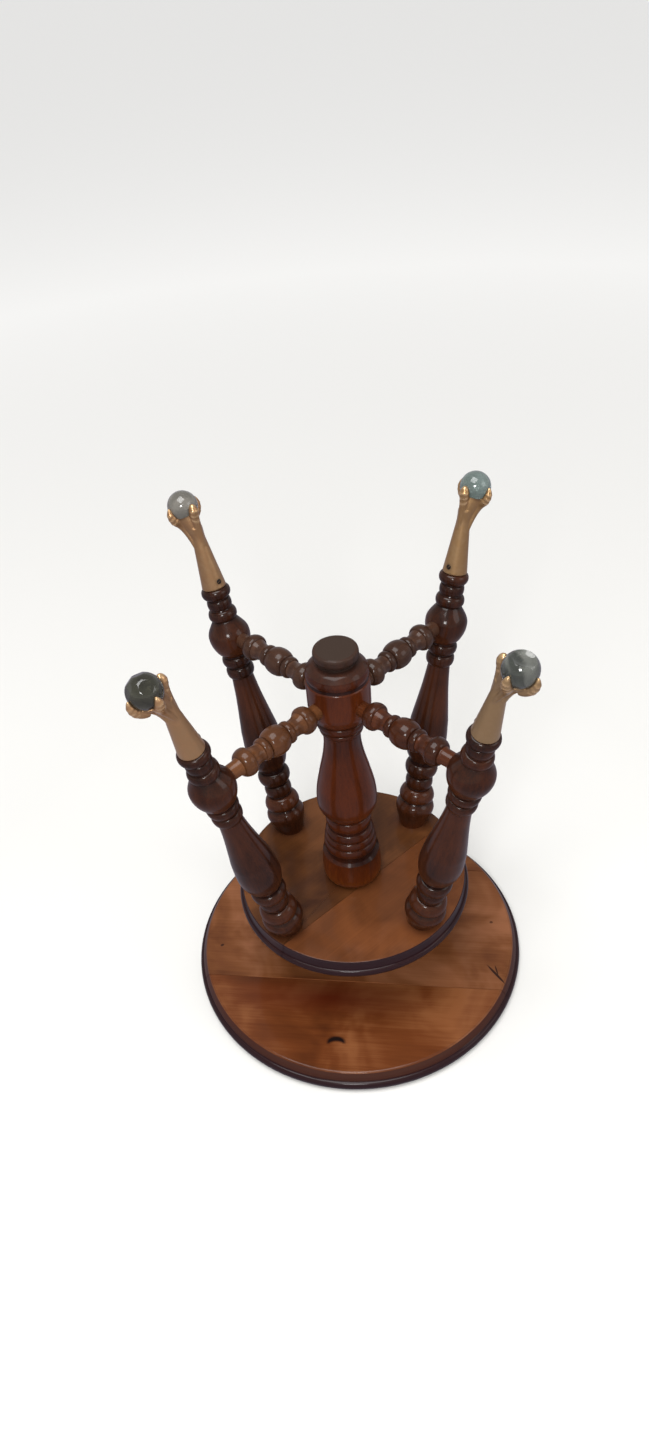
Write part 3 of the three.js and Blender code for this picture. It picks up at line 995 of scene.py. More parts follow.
@dataclass
class Seat:
    """The round seat, sitting face down: three boards with a thumb moulding and a bead.

    Sizes are millimetres and degrees.
    """

    radius: float = 178.0
    seam_angle: float = -6.7
    front_seam: float = -64.5
    back_seam: float = 96.0

    def profile(self) -> Profile:
        """Draws the seat's outline, from the middle of the sitting face round to the other.

        Returns:
            The outline.
        """
        top = frame_box("seat_board_middle")[1].z
        r = self.radius
        outline = Profile(stain=0.0).line(0, 0).line(r - 7, 0).tone(1.0).line(r - 5, 0)
        outline.bead(r - 3.3, 12.4, r, 20).line(r - 4.0, 13.0).tone(0.3)
        outline.curve([(r - 4.1, 14.4), (r - 5.7, 17.6), (r - 7.8, 20.9)], 24).tone(0.14)
        outline.curve([(r - 8.7, top - 0.3), (r - 9.8, top)], 6).tone(0.0)
        return outline.line(r - 10.8, top).line(0, top)

    def build(self) -> None:
        """Builds and dresses the seat's boards."""
        marks = (
            Mark(-26.4, -134.5, 9.8, 6.8, -4.0, bite=5.6),
            Mark(-152.0, -8.0, 2.2, 1.6, 30.0, strength=0.8),
            Mark(149.0, 5.5, 2.0, 1.6, strength=0.7),
            Mark(145.5, -63.0, 15.0, 1.4, -57.0, strength=0.9),
            Mark(146.5, -58.0, 6.5, 0.9, -82.0, strength=0.8),
            # Painted shadow and painted reflection: a dark red band on the front board, under the front edge
            # of the leg plate.
            Mark(-34.0, -82.0, 108.0, 23.0, -6.7, strength=0.9, softness=1.0, colour="#4E1A0A"),
            # Painted highlight: a thin light line along the front glue line, where its eased edge catches the
            # light.
            Mark(-22.0, -61.8, 95.0, 0.6, -6.7, strength=0.5, softness=0.6, colour="#A0603C"),
        )
        tones = {
            "front": ("#7A4A2A", "#5D3015", "#43200E"),
            "middle": ("#815236", "#693E22", "#4A2612"),
            "back": ("#7A4C2D", "#60371E", "#432210"),
        }
        seams = (None, self.front_seam, self.back_seam, None)
        boards = [
            Board(f"seat_board_{part}", near, far, ShellacOnBoard(f"seat_{part}_shellac", *tone, marks=marks))
            for (part, tone), near, far in zip(tones.items(), seams, seams[1:])
        ]
        saw_boards(self.profile(), boards, self.seam_angle, Body.SEAT)


@dataclass
class LegPlate:
    """The plate that carries the legs: two boards with a half-round edge.

    Sizes are millimetres and degrees.
    """

    radius: float = 120.0
    seam_angle: float = 41.5
    seam: float = -22.0
    leg_circle: float = 97.0

    def profile(self) -> Profile:
        """Draws the plate's outline, from the middle of its lower face to that of its upper.

        Returns:
            The outline.
        """
        low = frame_box("leg_plate_board_wide")[0].z
        top = frame_box("leg_plate_board_wide")[1].z
        r = self.radius
        outline = Profile(stain=0.0).line(0, low).line(r - 6, low).tone(1.0).line(r - 4, low)
        outline.bead(r - 2.6, low + 10.0, r, 24)
        outline.curve([(r - 3.2, low + 14), (r - 3.6, low + 17.5), (r - 3.6, top - 1.0)], 12)
        outline.line(r - 4.2, top - 0.3).tone(0.15).line(r - 4.6, top - 0.1).tone(0.0)
        return outline.line(r - 5.2, top).line(0, top)

    def build(self) -> None:
        """Builds and dresses the plate's boards."""
        smudges_and_painted_shade = [
            Mark(-66.0, 6.0, 26.0, 15.0, 80.0, strength=0.6, softness=0.9, colour="#331D14"),
            Mark(-56.0, -19.0, 20.0, 13.0, 60.0, strength=0.55, softness=0.9, colour="#37221A"),
            Mark(-88.0, 22.0, 22.0, 12.0, 100.0, strength=0.55, softness=1.0, colour="#3A2415"),
            Mark(-40.0, -53.0, 38.0, 5.0, 41.5, strength=0.5, softness=1.0, colour="#3A2418"),
        ]
        # Painted shade: the plate is drawn darker round the feet of the legs and of the column.
        for i in range(4):
            x, y, _ = corner_turn(i) @ Vector((self.leg_circle, 0.0, 0.0))
            smudges_and_painted_shade.append(Mark(x, y, 24.0, 22.0, strength=0.6, softness=0.5, colour="#3A1D14"))
        # Painted shade round the column's foot.
        smudges_and_painted_shade.append(Mark(0.0, 0.0, 34.0, 34.0, strength=0.6, softness=0.35, colour="#40210F"))
        narrow = ShellacOnBoard(
            "plate_narrow_shellac", "#6B3D20", "#59321A", "#432310", marks=tuple(smudges_and_painted_shade)
        )
        wide = ShellacOnBoard(
            "plate_wide_shellac", "#643C20", "#4F2E17", "#361D10", patch_mm=60.0, marks=tuple(smudges_and_painted_shade)
        )
        boards = [
            Board("leg_plate_board_narrow", None, self.seam, narrow),
            Board("leg_plate_board_wide", self.seam, None, wide),
        ]
        saw_boards(self.profile(), boards, self.seam_angle, Body.FRAME)


# --- Iron and steel under the plate --------------------------------------------------


@dataclass
class SeatIron:
    """The cast spider on the seat, the lift screw that stands in it, and their fasteners.

    Sizes are millimetres.
    """

    arm_reach: float = 64.0
    arm_width: float = 20.0
    arm_height: float = 4.0
    hub_radius: float = 24.0
    hub_height: float = 12.0
    screw_circle: float = 54.0
    screw_radius: float = 11.0
    thread_depth: float = 1.7
    end_gap: float = 0.5
    pitch: float = 6.35
    pin_radius: float = 2.2
    head_rise: float = 0.1
    skin_mm: float = 0.9
    smoothing: int = 3
    round_steps: int = 16
    turn_steps: int = 40

    def __post_init__(self) -> None:
        """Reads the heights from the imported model."""
        self.bottom = frame_box("seat_spider")[0].z
        self.screw_top = frame_box("lift_screw")[1].z
        low, high = frame_box("screw_cross_pin")
        self.pin_height = (low.z + high.z) / 2
        self.pin_reach = high.x

    def _spider(self, iron: bpy.types.Material) -> None:
        """Casts the spider: four round-ended arms and a hub, with softened edges.

        Args:
            iron: its material.
        """
        mesh = bmesh.new()
        for i in range(4):
            half = self.arm_width / 2
            outline = [Vector((0.0, -half, 0.0)), Vector((self.arm_reach - half, -half, 0.0))]
            for step in range(1, self.round_steps):
                angle = math.pi * (step / self.round_steps - 0.5)
                corner = Vector((math.cos(angle), math.sin(angle), 0.0)) * half
                outline.append(corner + Vector((self.arm_reach - half, 0.0, 0.0)))
            outline += [Vector((self.arm_reach - half, half, 0.0)), Vector((0.0, half, 0.0))]
            rows = []
            for height in (self.bottom, self.bottom + self.arm_height):
                lift = Matrix.Translation((0.0, 0.0, height))
                rows.append([mesh.verts.new((corner_turn(i) @ lift @ p) * MM) for p in outline])
            count = len(outline)
            for j in range(count):
                k = (j + 1) % count
                mesh.faces.new([rows[0][j], rows[0][k], rows[1][k], rows[1][j]])
            mesh.faces.new(list(reversed(rows[0])))
            mesh.faces.new(rows[1])
        hub = Profile().line(0, self.bottom).line(self.hub_radius, self.bottom)
        hub.line(self.hub_radius, self.bottom + self.arm_height)
        hub.curve([(self.hub_radius - 2, self.bottom + 7), (self.hub_radius - 3, self.bottom + 11)], 8)
        hub.line(self.hub_radius - 4.2, self.bottom + self.hub_height)
        hub.line(0, self.bottom + self.hub_height)
        merge(mesh, turn(hub, 64))
        bmesh.ops.recalc_face_normals(mesh, faces=mesh.faces)
        spider = as_object("spider_casting", mesh)
        fuse(spider, self.skin_mm, self.smoothing)
        place_piece(spider, iron, Body.SEAT, "seat_spider")

    def _thread(self, steel: bpy.types.Material) -> None:
        """Cuts the lift screw's thread: a flat-topped thread with sloping sides, one start.

        Args:
            steel: its material.
        """
        sides = self.turn_steps
        root = self.screw_radius - self.thread_depth
        # Shares of a turn's rise, and the radius there: a flat root, a slope and a flat crest.
        shape = [(0.0, root), (0.4, root), (0.5, self.screw_radius), (0.9, self.screw_radius)]
        low, high = self.bottom, self.screw_top - self.end_gap
        turns = math.ceil((high - low) / self.pitch) + 3
        mesh = bmesh.new()
        rows = []
        for i in range(turns * sides + 1):
            angle = 2 * math.pi * i / sides
            rise = low + self.pitch * (i / sides - 2)
            row = []
            for part, radius in shape:
                height = rise + part * self.pitch
                spot = Vector((radius * math.cos(angle), radius * math.sin(angle), height))
                row.append(mesh.verts.new(spot * MM))
            rows.append(row)
        for i in range(turns * sides):
            for j in range(len(shape) - 1):
                mesh.faces.new([rows[i][j], rows[i + 1][j], rows[i + 1][j + 1], rows[i][j + 1]])
            if i + sides + 1 < len(rows):
                over, over_next = rows[i + sides][0], rows[i + sides + 1][0]
                mesh.faces.new([rows[i][-1], rows[i + 1][-1], over_next, over])
        keep_side(mesh, Vector((0.0, 0.0, high * MM)), Vector((0.0, 0.0, 1.0)))
        keep_side(mesh, Vector((0.0, 0.0, low * MM)), Vector((0.0, 0.0, -1.0)))
        bmesh.ops.recalc_face_normals(mesh, faces=mesh.faces)
        piece = as_object("lift_screw_thread", mesh, SHARP_SAWN)
        place_piece(piece, steel, Body.SEAT, "lift_screw")

    def _pin(self, steel: bpy.types.Material) -> None:
        """Turns the pin that crosses the hub and the screw, with riveted ends.

        Args:
            steel: its material.
        """
        reach, radius = self.pin_reach, self.pin_radius
        profile = Profile().line(0, -reach).bead(radius - 0.2, 0.6 - reach, radius - 0.4, 5)
        profile.line(radius, 1.2 - reach).line(radius, reach - 1.2).line(radius - 0.2, reach - 0.6)
        profile.line(0, reach)
        pin = as_object("cross_pin_steel", turn(profile, 24))
        pin.data.transform(moved(0.0, self.pin_height) @ Matrix.Rotation(math.pi / 2, 4, "Y"))
        place_piece(pin, steel, Body.SEAT, "screw_cross_pin")

    def build(self, iron: bpy.types.Material, steel: bpy.types.Material) -> None:
        """Builds the spider, the screw, its pin and the spider's screws.

        Args:
            iron: the castings' material.
            steel: the screws' material.
        """
        self._spider(iron)
        self._thread(steel)
        self._pin(steel)
        top = self.bottom + self.arm_height + self.head_rise
        down = Matrix.Rotation(math.pi, 4, "X")
        set_board_screws(
            "spider_screw", self.screw_circle, top, down, SCREW_SLOT_ANGLES, Body.SEAT, steel
        )


@dataclass
class NutHousing:
    """The flanged iron cup under the plate that holds the nut, and the screws that hold it.

    Sizes are millimetres.
    """

    cup_radius: float = 23.5
    flange: float = 4.0
    flange_radius: float = 38.0
    lip_radius: float = 13.0
    screw_circle: float = 31.0
    head_rise: float = 0.1

    def build(self, iron: bpy.types.Material, steel: bpy.types.Material) -> None:
        """Builds the cup and its screws, and dresses the nut inside.

        Args:
            iron: the castings' material.
            steel: the screws' material.
        """
        low, high = (corner.z for corner in frame_box("nut_housing"))
        under = high - self.flange
        nut_hole = frame_box("lift_nut")[1].x + 0.5
        r, wide = self.cup_radius, self.flange_radius
        cup = Profile().line(self.lip_radius, low).line(r - 1.2, low).bead(r, low + 1.4, r - 0.2, 4)
        cup.line(r, under - 2).curve([(r + 0.8, under - 0.7), (r + 2.4, under)], 6)
        cup.line(wide - 0.8, under).line(wide, under + 0.8).line(wide, high - 0.3)
        cup.line(wide - 0.3, high).line(nut_hole, high).line(nut_hole, low + 2)
        cup.line(self.lip_radius, low + 2)
        housing = as_object("housing_casting", turn(cup, 96, ring=True))
        place_piece(housing, iron, Body.FRAME, "nut_housing")
        face, up, angles = under - self.head_rise, Matrix.Identity(4), SCREW_SLOT_ANGLES[::-1]
        set_board_screws("housing_screw", self.screw_circle, face, up, angles, Body.FRAME, steel)
        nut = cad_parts["lift_nut"]
        nut.data.materials.clear()
        nut.data.materials.append(iron)


# --- Turned column, legs and stretchers ----------------------------------------------


def set_turning(
    node: str,
    profile: Profile,
    place: Matrix,
    finish: bpy.types.Material,
    sides: int,
    shift: float,
    foot: float | None = None,
) -> None:
    """Turns a wooden piece of the leg frame and puts it in place.

    Args:
        node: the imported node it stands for.
        profile: its outline.
        place: its own frame in the model's.
        finish: the turned wood's material.
        sides: how many steps go round.
        shift: how far to move the pattern's own coordinates, so that no two pieces match.
        foot: the height in millimetres that it is trimmed to, if it is trimmed.
    """
    mesh = turn(profile, sides, shift=shift)
    bmesh.ops.transform(mesh, matrix=place, verts=mesh.verts)
    if foot is not None:
        keep_side(mesh, Vector((0.0, 0.0, foot * MM)), Vector((0.0, 0.0, -1.0)))
    piece = as_object(f"{node}_turning", mesh, SHARP_TURNED)
    place_piece(piece, finish, Body.FRAME, node)


@dataclass
class Column:
    """The turned centre column, with its knob up: base, rings, vase, barrel and knob.

    Sizes are millimetres; z = 0 is the plate's face.
    """

    height: float = 290.0
    barrel_radius: float = 28.8

    def profile(self) -> Profile:
        """Draws the column's outline from its foot in the plate up to its knob.

        Returns:
            The outline.
        """
        r = self.barrel_radius
        outline = Profile(stain=0.8).line(0, -4).line(24, -4).line(24, 0.1).line(25.5, 0.1)
        # The base is drawn paler and warmer towards the plate and darker up to its shoulder: a painted
        # reflection of the plate's warm wood.
        outline.tone(0.25).curve([(29.4, 7), (30.0, 20), (28.6, 36)], 30, 0.62)
        outline.tone(0.8).line(25.4, 38.2).curve([(24.9, 41), (25.0, 44.6)], 6)
        outline.tone(0.7).bead(23.6, 54.3, 26.4, 14).bead(22.2, 63.4, 25.2, 14)
        outline.bead(20.4, 73, 23.6, 14).line(20.2, 75.6).tone(0.6)
        outline.bead(20.2, 89, 22.6, 18).tone(0.6)
        outline.curve([(26, 97), (29.2, 107), (28.6, 124), (24.2, 147)], 34, 0.5)
        outline.curve([(19.6, 168), (17.6, 183), (17.4, 196.6)], 26, 0.66).line(17.0, 197.4)
        outline.tone(0.7).bead(18.2, 203.8, 20.4, 12).bead(20.6, 214, 22.9, 14).tone(0.66)
        outline.curve([(24.6, 217), (28.0, 225), (r, 230)], 16, 0.5).line(r, 243)
        outline.line(r, 257.6).bead(r - 1.0, 259.0, r - 0.3, 4).tone(0.8).line(26.9, 260.4)
        outline.line(26.9, 261.8).tone(0.62).line(28.0, 262.8)
        outline.curve([(28.5, 266), (27.0, 270.2)], 10, 0.7).tone(0.72, 0.3)
        outline.curve([(22.4, 274.4), (17, 276)], 12, 0.75).tone(0.75, 0.5)
        outline.line(15.8, 276.8).line(15.6, 278.4)
        outline.curve([(18.2, 279.6), (20.2, 283.2), (20.2, 287)], 12).tone(0.7, 0.7)
        outline.curve([(19.6, 289), (17.6, 289.9)], 8).tone(0.7, 1.0)
        return outline.line(14, self.height).line(0, self.height)

    def build(self, plate_top: float, finish: bpy.types.Material) -> None:
        """Turns the column and stands it on the plate.

        Args:
            plate_top: the height of the plate's face.
            finish: the turned wood's material.
        """
        set_turning("column", self.profile(), moved(0.0, plate_top), finish, 144, 0.9)


@dataclass
class Leg:
    """One turned leg with z = 0 where its axis meets the plate, leaning out towards +X.

    Sizes are millimetres and degrees.
    """

    number: int
    foot_radius: float = 94.8
    splay: float = 13.05
    length: float = 293.0
    foot_gap: float = 0.05

    def place(self, plate_top: float) -> Matrix:
        """Gives the leg's own frame in the model's.

        Args:
            plate_top: the height of the plate's face.

        Returns:
            The matrix, in metres.
        """
        spot = corner_turn(self.number - 1) @ moved(self.foot_radius, plate_top)
        return spot @ Matrix.Rotation(math.radians(self.splay), 4, "Y")

    def profile(self) -> Profile:
        """Draws the leg's outline from the plate up to the claw.

        Returns:
            The outline.
        """
        outline = Profile(stain=0.5).line(0, -6).line(13.6, -6)
        # The foot's bulb is drawn paler towards the plate: partly stain and partly a painted reflection of
        # the plate and seat.
        outline.curve([(15.5, 3), (20.3, 18.5), (19.6, 24.5), (16.0, 29.4)], 30, 0.62)
        outline.line(15.4, 30.6).tone(0.55).bead(11.8, 45.6, 18.2, 22).tone(0.7)
        outline.line(11.4, 46.6).bead(11.4, 60.8, 14.4, 16).line(11.6, 62.0)
        outline.bead(12.8, 78.4, 17.1, 18).line(12.8, 79.6).tone(0.62)
        outline.curve([(18.3, 90), (20.8, 105), (19.2, 130)], 26, 0.7)
        outline.curve([(13.3, 170), (10.8, 194.6)], 22, 0.6).line(10.7, 195.6).tone(0.72)
        outline.bead(11.2, 207.6, 13.9, 14).line(11.0, 208.6)
        outline.bead(12.2, 219.6, 14.6, 14).line(12.0, 220.8).tone(0.5)
        # The upper bulb is drawn paler towards the plate than at its top: partly stain and partly a painted
        # reflection of the plate and seat.
        outline.curve([(16.4, 226.2), (20.0, 236.6), (19.6, 246.4), (12.2, 258.8)], 30, 0.78)
        outline.line(11.2, 259.8).tone(0.74).bead(10.6, 270.3, 13.9, 14)
        outline.line(10.2, 271.2).bead(10.0, 281.2, 11.9, 12)
        outline.line(9.9, 282.2).bead(10.6, self.length, 14.1, 14)
        return outline.line(0, self.length)

    def build(self, plate_top: float, finish: bpy.types.Material) -> None:
        """Turns the leg, trims its foot flush and stands it on the plate.

        Args:
            plate_top: the height of the plate's face.
            finish: the turned wood's material.
        """
        node, place, foot = f"leg_{self.number}", self.place(plate_top), plate_top + self.foot_gap
        set_turning(node, self.profile(), place, finish, 96, 1.7 * self.number, foot)


@dataclass
class Stretcher:
    """One turned stretcher from the column's barrel out to a leg's bulb, turned about its +Z.

    Sizes are millimetres.
    """

    number: int
    start: float = 27.0
    end: float = 138.0
    middle: float = 78.0

    def profile(self) -> Profile:
        """Draws the stretcher's outline from the column out to the leg.

        Returns:
            The outline.
        """
        m = self.middle
        outline = Profile(stain=0.4).line(0, self.start).line(7.4, self.start).line(7.4, m - 44)
        outline.curve([(8.4, m - 41.6)], 3).tone(0.62).bead(10.4, m - 29.4, 12.8, 18).tone(0.5)
        outline.curve([(8.8, m - 25.2), (8.2, m - 21), (8.4, m - 17.6)], 12, 0.36).tone(0.66)
        outline.bead(8.4, m - 10.4, 10.6, 10).tone(0.6).bead(8.4, m + 10.4, 13.5, 22).tone(0.66)
        outline.bead(8.4, m + 17.6, 10.6, 10).tone(0.36)
        outline.curve([(8.2, m + 21), (8.8, m + 25.2), (10.4, m + 29.4)], 12, 0.5).tone(0.62)
        outline.bead(8.4, m + 41.6, 12.8, 18).tone(0.4).curve([(7.4, m + 44)], 3).line(7.0, self.end)
        return outline.line(0, self.end)

    def build(self, finish: bpy.types.Material) -> None:
        """Turns the stretcher and lays it in place.

        Args:
            finish: the turned wood's material.
        """
        node = f"stretcher_{self.number}"
        low, high = frame_box(node)
        spot = corner_turn(self.number - 1) @ moved(0.0, (low.z + high.z) / 2)
        lying = Matrix.Rotation(math.pi / 2, 4, "Y")
        set_turning(node, self.profile(), spot @ lying, finish, 64, 2.3 * self.number)


# --- Claw feet and glass balls ---------------------------------------------------------


class BallState(Enum):
    """How each foot's glass ball has worn, named for the foot's place."""

    MILKY = "milky"
    CLEAR = "clear"
    CHIPPED = "chipped"
    DISHED = "dished"


# A toe's turn round the ball in degrees, and how far round from the ball's underside it joins it.
TOE_JOINS = {0: 22.0, 90: 42.0, 180: 76.0}


@dataclass
class Claw:
    """One cast claw with its socket, four toes, glass ball and screw.

    In the claw's own frame z = 0 is the socket's mouth, +Z runs on along the leg and +X points
    away from the column. Sizes are millimetres.
    """

    number: int
    ball_state: BallState
    ball_radius: float = 14.1
    ball_out: float = 9.9
    ball_height: float = 80.5
    ankle_height: float = 46.0
    ankle_radius: float = 5.8
    palm_bend: float = 60.0
    palm_swell: float = 6.0
    cup_wall: float = 3.0
    cup_thinning: float = 2.0
    cup_reach: float = 50.0
    tendon_out: float = 5.2
    tendon_start: float = 36.0
    tendon_radius: float = 1.6
    toe_lift: float = 1.6
    toe_radius: float = 4.1
    toe_taper: float = 1.9
    toe_tip: float = 103.0
    thumb_swell: float = 0.9
    knuckles: tuple[float, ...] = (54.0, 67.0, 80.0)
    knuckle_rise: float = 0.4
    knuckle_spread: float = 3.0
    chips: int = 7
    gap: float = 0.3
    screw_out: float = 11.2
    screw_height: float = 7.0
    socket_taper: float = 6.5
    skin_mm: float = 0.55
    smoothing: int = 6
    ball_play: float = 0.05

    @property
    def ball_middle(self) -> Vector:
        """The ball's middle in the claw's own frame, in millimetres."""
        return Vector((self.ball_out, 0.0, self.ball_height))

    def _spot(self, polar: float, turn_angle: float, radius: float) -> Vector:
        """Gives a point near the ball by its angle from the ball's underside.

        Args:
            polar: the angle from the underside, in degrees.
            turn_angle: the angle round the ball, in degrees from +X.
            radius: the distance from the ball's centre.

        Returns:
            The point in metres.
        """
        up, around = math.radians(polar), math.radians(turn_angle)
        out = radius * math.sin(up)
        x = self.ball_out + out * math.cos(around)
        return Vector((x, out * math.sin(around), self.ball_height - radius * math.cos(up))) * MM

    def _socket(self, mesh: bmesh.types.BMesh) -> None:
        """Adds the socket: a rim, a slim taper and an ankle.

        Args:
            mesh: the claw so far.
        """
        outline = Profile().line(0, 0).line(11.4, 0).line(11.7, 0.4).line(11.6, 1.6)
        outline.curve([(9.5, 20), (7.3, 40), (6.2, 51), (6.4, 61)], 30).line(0, 61)
        merge(mesh, turn(outline, 48))

    def _palm(self, mesh: bmesh.types.BMesh) -> None:
        """Adds the palm: it swells from the ankle to a cup under the ball.

        Args:
            mesh: the claw so far.
        """
        start, middle = Vector((0.0, 0.0, self.ankle_height)), Vector((0.4, 0.0, self.palm_bend))
        end = Vector((self.ball_out - 1.5, 0.0, self.ball_height - 8.0))
        spine, radii = [], []
        for i in range(13):
            t = i / 12
            spine.append((start * (1 - t) ** 2 + middle * 2 * t * (1 - t) + end * t**2) * MM)
            radii.append((self.ankle_radius + self.palm_swell * t**2) * MM)
        tapered_rod(mesh, spine, radii, 24)
        cup = Profile().line(0, -self.ball_radius - self.cup_wall)
        for step in range(1, 13):
            angle = math.radians(self.cup_reach * step / 12)
            radius = self.ball_radius + self.cup_wall - self.cup_thinning * (step / 12) ** 2
            cup.line(radius * math.sin(angle), -radius * math.cos(angle))
        cup.line(0, -2)
        shell = turn(cup, 48)
        bmesh.ops.translate(shell, vec=self.ball_middle * MM, verts=shell.verts)
        merge(mesh, shell)

    def _toe(self, mesh: bmesh.types.BMesh, turn_angle: float) -> None:
        """Adds one toe, from a tendon on the ankle over its knuckles to a pointed nail.

        Args:
            mesh: the claw so far.
            turn_angle: the toe's place round the ball, in degrees from +X.
        """
        is_thumb = turn_angle == 0
        joins = TOE_JOINS[min(turn_angle, 360 - turn_angle)]
        lift = self.ball_radius + self.toe_lift
        around = Vector((math.cos(math.radians(turn_angle)), math.sin(math.radians(turn_angle)), 0.0))
        ankle = (around * self.tendon_out + Vector((0.0, 0.0, self.tendon_start))) * MM
        meet = self._spot(joins, turn_angle, lift)
        run = (meet - ankle).length
        onward = (self._spot(joins + 1, turn_angle, lift) - meet).normalized()
        spine, radii = [], []
        for i in range(14):
            t = i / 14
            place = (1 + 2 * t) * (1 - t) ** 2 * ankle + t**2 * (3 - 2 * t) * meet
            place += 0.8 * run * (t * (1 - t) ** 2 * Vector((0.0, 0.0, 1.0)) - t**2 * (1 - t) * onward)
            spine.append(place)
            radii.append((self.tendon_radius + (self.toe_radius - 1.2) * t) * MM)
        for i in range(31):
            t = i / 30
            polar = joins + (self.toe_tip - joins) * t
            spine.append(self._spot(polar, turn_angle, lift - 0.5 * t + (1.0 - t) * is_thumb))
            width = self.toe_radius + 0.4 + self.thumb_swell * is_thumb * (1 - t) - self.toe_taper * t**1.5
            radii.append(width * (1 - 0.72 * t**5) * MM)
        for i, place in enumerate(spine):
            off = place / MM - self.ball_middle
            polar = math.degrees(math.acos(-off.z / off.length))
            bump = sum(math.exp(-(((polar - k) / self.knuckle_spread) ** 2)) for k in self.knuckles)
            radii[i] += self.knuckle_rise * bump * MM
        tapered_rod(mesh, spine, radii, 20)

    def casting(self) -> bpy.types.Mesh:
        """Casts one claw in its own frame, with its hollow for the ball.

        Returns:
            The claw's mesh.
        """
        mesh = bmesh.new()
        self._socket(mesh)
        self._palm(mesh)
        for turn_angle in (0, 90, 180, 270):
            self._toe(mesh, turn_angle)
        bmesh.ops.recalc_face_normals(mesh, faces=mesh.faces)
        claw = as_object("claw_casting", mesh)
        fuse(claw, self.skin_mm, self.smoothing)
        hollow = bmesh.new()
        bmesh.ops.create_icosphere(hollow, subdivisions=5, radius=(self.ball_radius + self.ball_play) * MM)
        bmesh.ops.translate(hollow, vec=self.ball_middle * MM, verts=hollow.verts)
        carve(claw, as_object("ball_hollow", hollow))
        data = claw.data
        bpy.data.objects.remove(claw)
        self._wear(data)
        return data

    def _wear(self, data: bpy.types.Mesh) -> None:
        """Marks where the paint is worn bright and where dirt has gathered.

        Args:
            data: the claw's mesh, in its own frame.
        """
        count = len(data.vertices)
        places = np.empty(3 * count, dtype=np.float32)
        data.vertices.foreach_get("co", places)
        spots = places.reshape(-1, 3) / MM
        off = spots - np.array(self.ball_middle)
        far = np.linalg.norm(off, axis=1)
        polar = np.degrees(np.arccos(np.clip(-off[:, 2] / np.maximum(far, 1e-6), -1, 1)))
        # Hands and floors wear the crowns of the knuckles, the nails and the socket's rim.
        on_toe = (spots[:, 2] > 58) & (far < self.ball_radius + 9)
        crown = np.clip((far - self.ball_radius - 2.2) / 2.0, 0, 1)
        knuckle = sum(np.exp(-(((polar - k) / 3.2) ** 2)) for k in self.knuckles)
        nail = np.clip((polar - 90) / 8, 0, 1)
        rim = np.clip(1 - spots[:, 2] / 0.9, 0, 1)
        wear = np.where(on_toe, np.clip(crown * knuckle + 0.7 * nail, 0, 1), 0.08)
        wear = np.maximum(wear, 0.9 * rim).astype(np.float32)
        # Dirt lies where the toes meet the glass and round the screw.
        hollow = np.where(on_toe, 0.7 * np.clip(1 - (far - self.ball_radius) / 1.6, 0, 1), 0.12)
        hole = np.linalg.norm(spots - np.array([-self.screw_out, 0.0, self.screw_height]), axis=1)
        dirt = np.maximum(hollow, np.exp(-((hole / 3.4) ** 2))).astype(np.float32)
        data.attributes.new("wear", "FLOAT", "POINT").data.foreach_set("value", wear)
        data.attributes.new("groove", "FLOAT", "POINT").data.foreach_set("value", dirt)
        layer = data.attributes.new("local", "FLOAT_VECTOR", "POINT")
        layer.data.foreach_set("vector", places)

    def _ball(self, place: Matrix) -> bpy.types.Object:
        """Presses the glass ball and wears it as this foot's is.

        Args:
            place: the claw's frame in the model's.

        Returns:
            The ball.
        """
        mesh = bmesh.new()
        bmesh.ops.create_icosphere(mesh, subdivisions=6, radius=self.ball_radius * MM)
        if self.ball_state is BallState.DISHED:
            self._dish(mesh)
        if self.ball_state is BallState.CHIPPED:
            self._chip(mesh)
        matrix = place @ moved(self.ball_out, self.ball_height)
        bmesh.ops.transform(mesh, matrix=matrix, verts=mesh.verts)
        return as_object(f"glass_ball_{self.number}_glass", mesh, SHARP_GLASS)

    def _dish(self, mesh: bmesh.types.BMesh, start: float = 0.78, depth: float = 0.16) -> None:
        """Sinks a shallow dish into the ball's far end.

        Args:
            mesh: the ball, centred on its own middle.
            start: the dish's distance from the middle, as a share of the radius.
            depth: how deep it is, as a share of the radius.
        """
        level = start * self.ball_radius * MM
        rim = math.sqrt(1 - start**2) * self.ball_radius * MM
        for vert in mesh.verts:
            if vert.co.z > level:
                out = math.hypot(vert.co.x, vert.co.y) / rim
                vert.co.z = level - depth * self.ball_radius * MM * max(0.0, 1 - out**2)

    def _chip(self, mesh: bmesh.types.BMesh) -> None:
        """Knocks shallow flat chips off the ball's exposed side.

        Args:
            mesh: the ball, centred on its own middle.
        """
        rng = np.random.default_rng(11)
        for _ in range(self.chips):
            way = Vector((rng.normal(), rng.normal(), abs(rng.normal()) + 0.4)).normalized()
            level = rng.uniform(0.92, 0.97) * self.ball_radius * MM
            for vert in mesh.verts:
                over = vert.co.dot(way) - level
                if over > 0:
                    vert.co -= way * over * 0.9

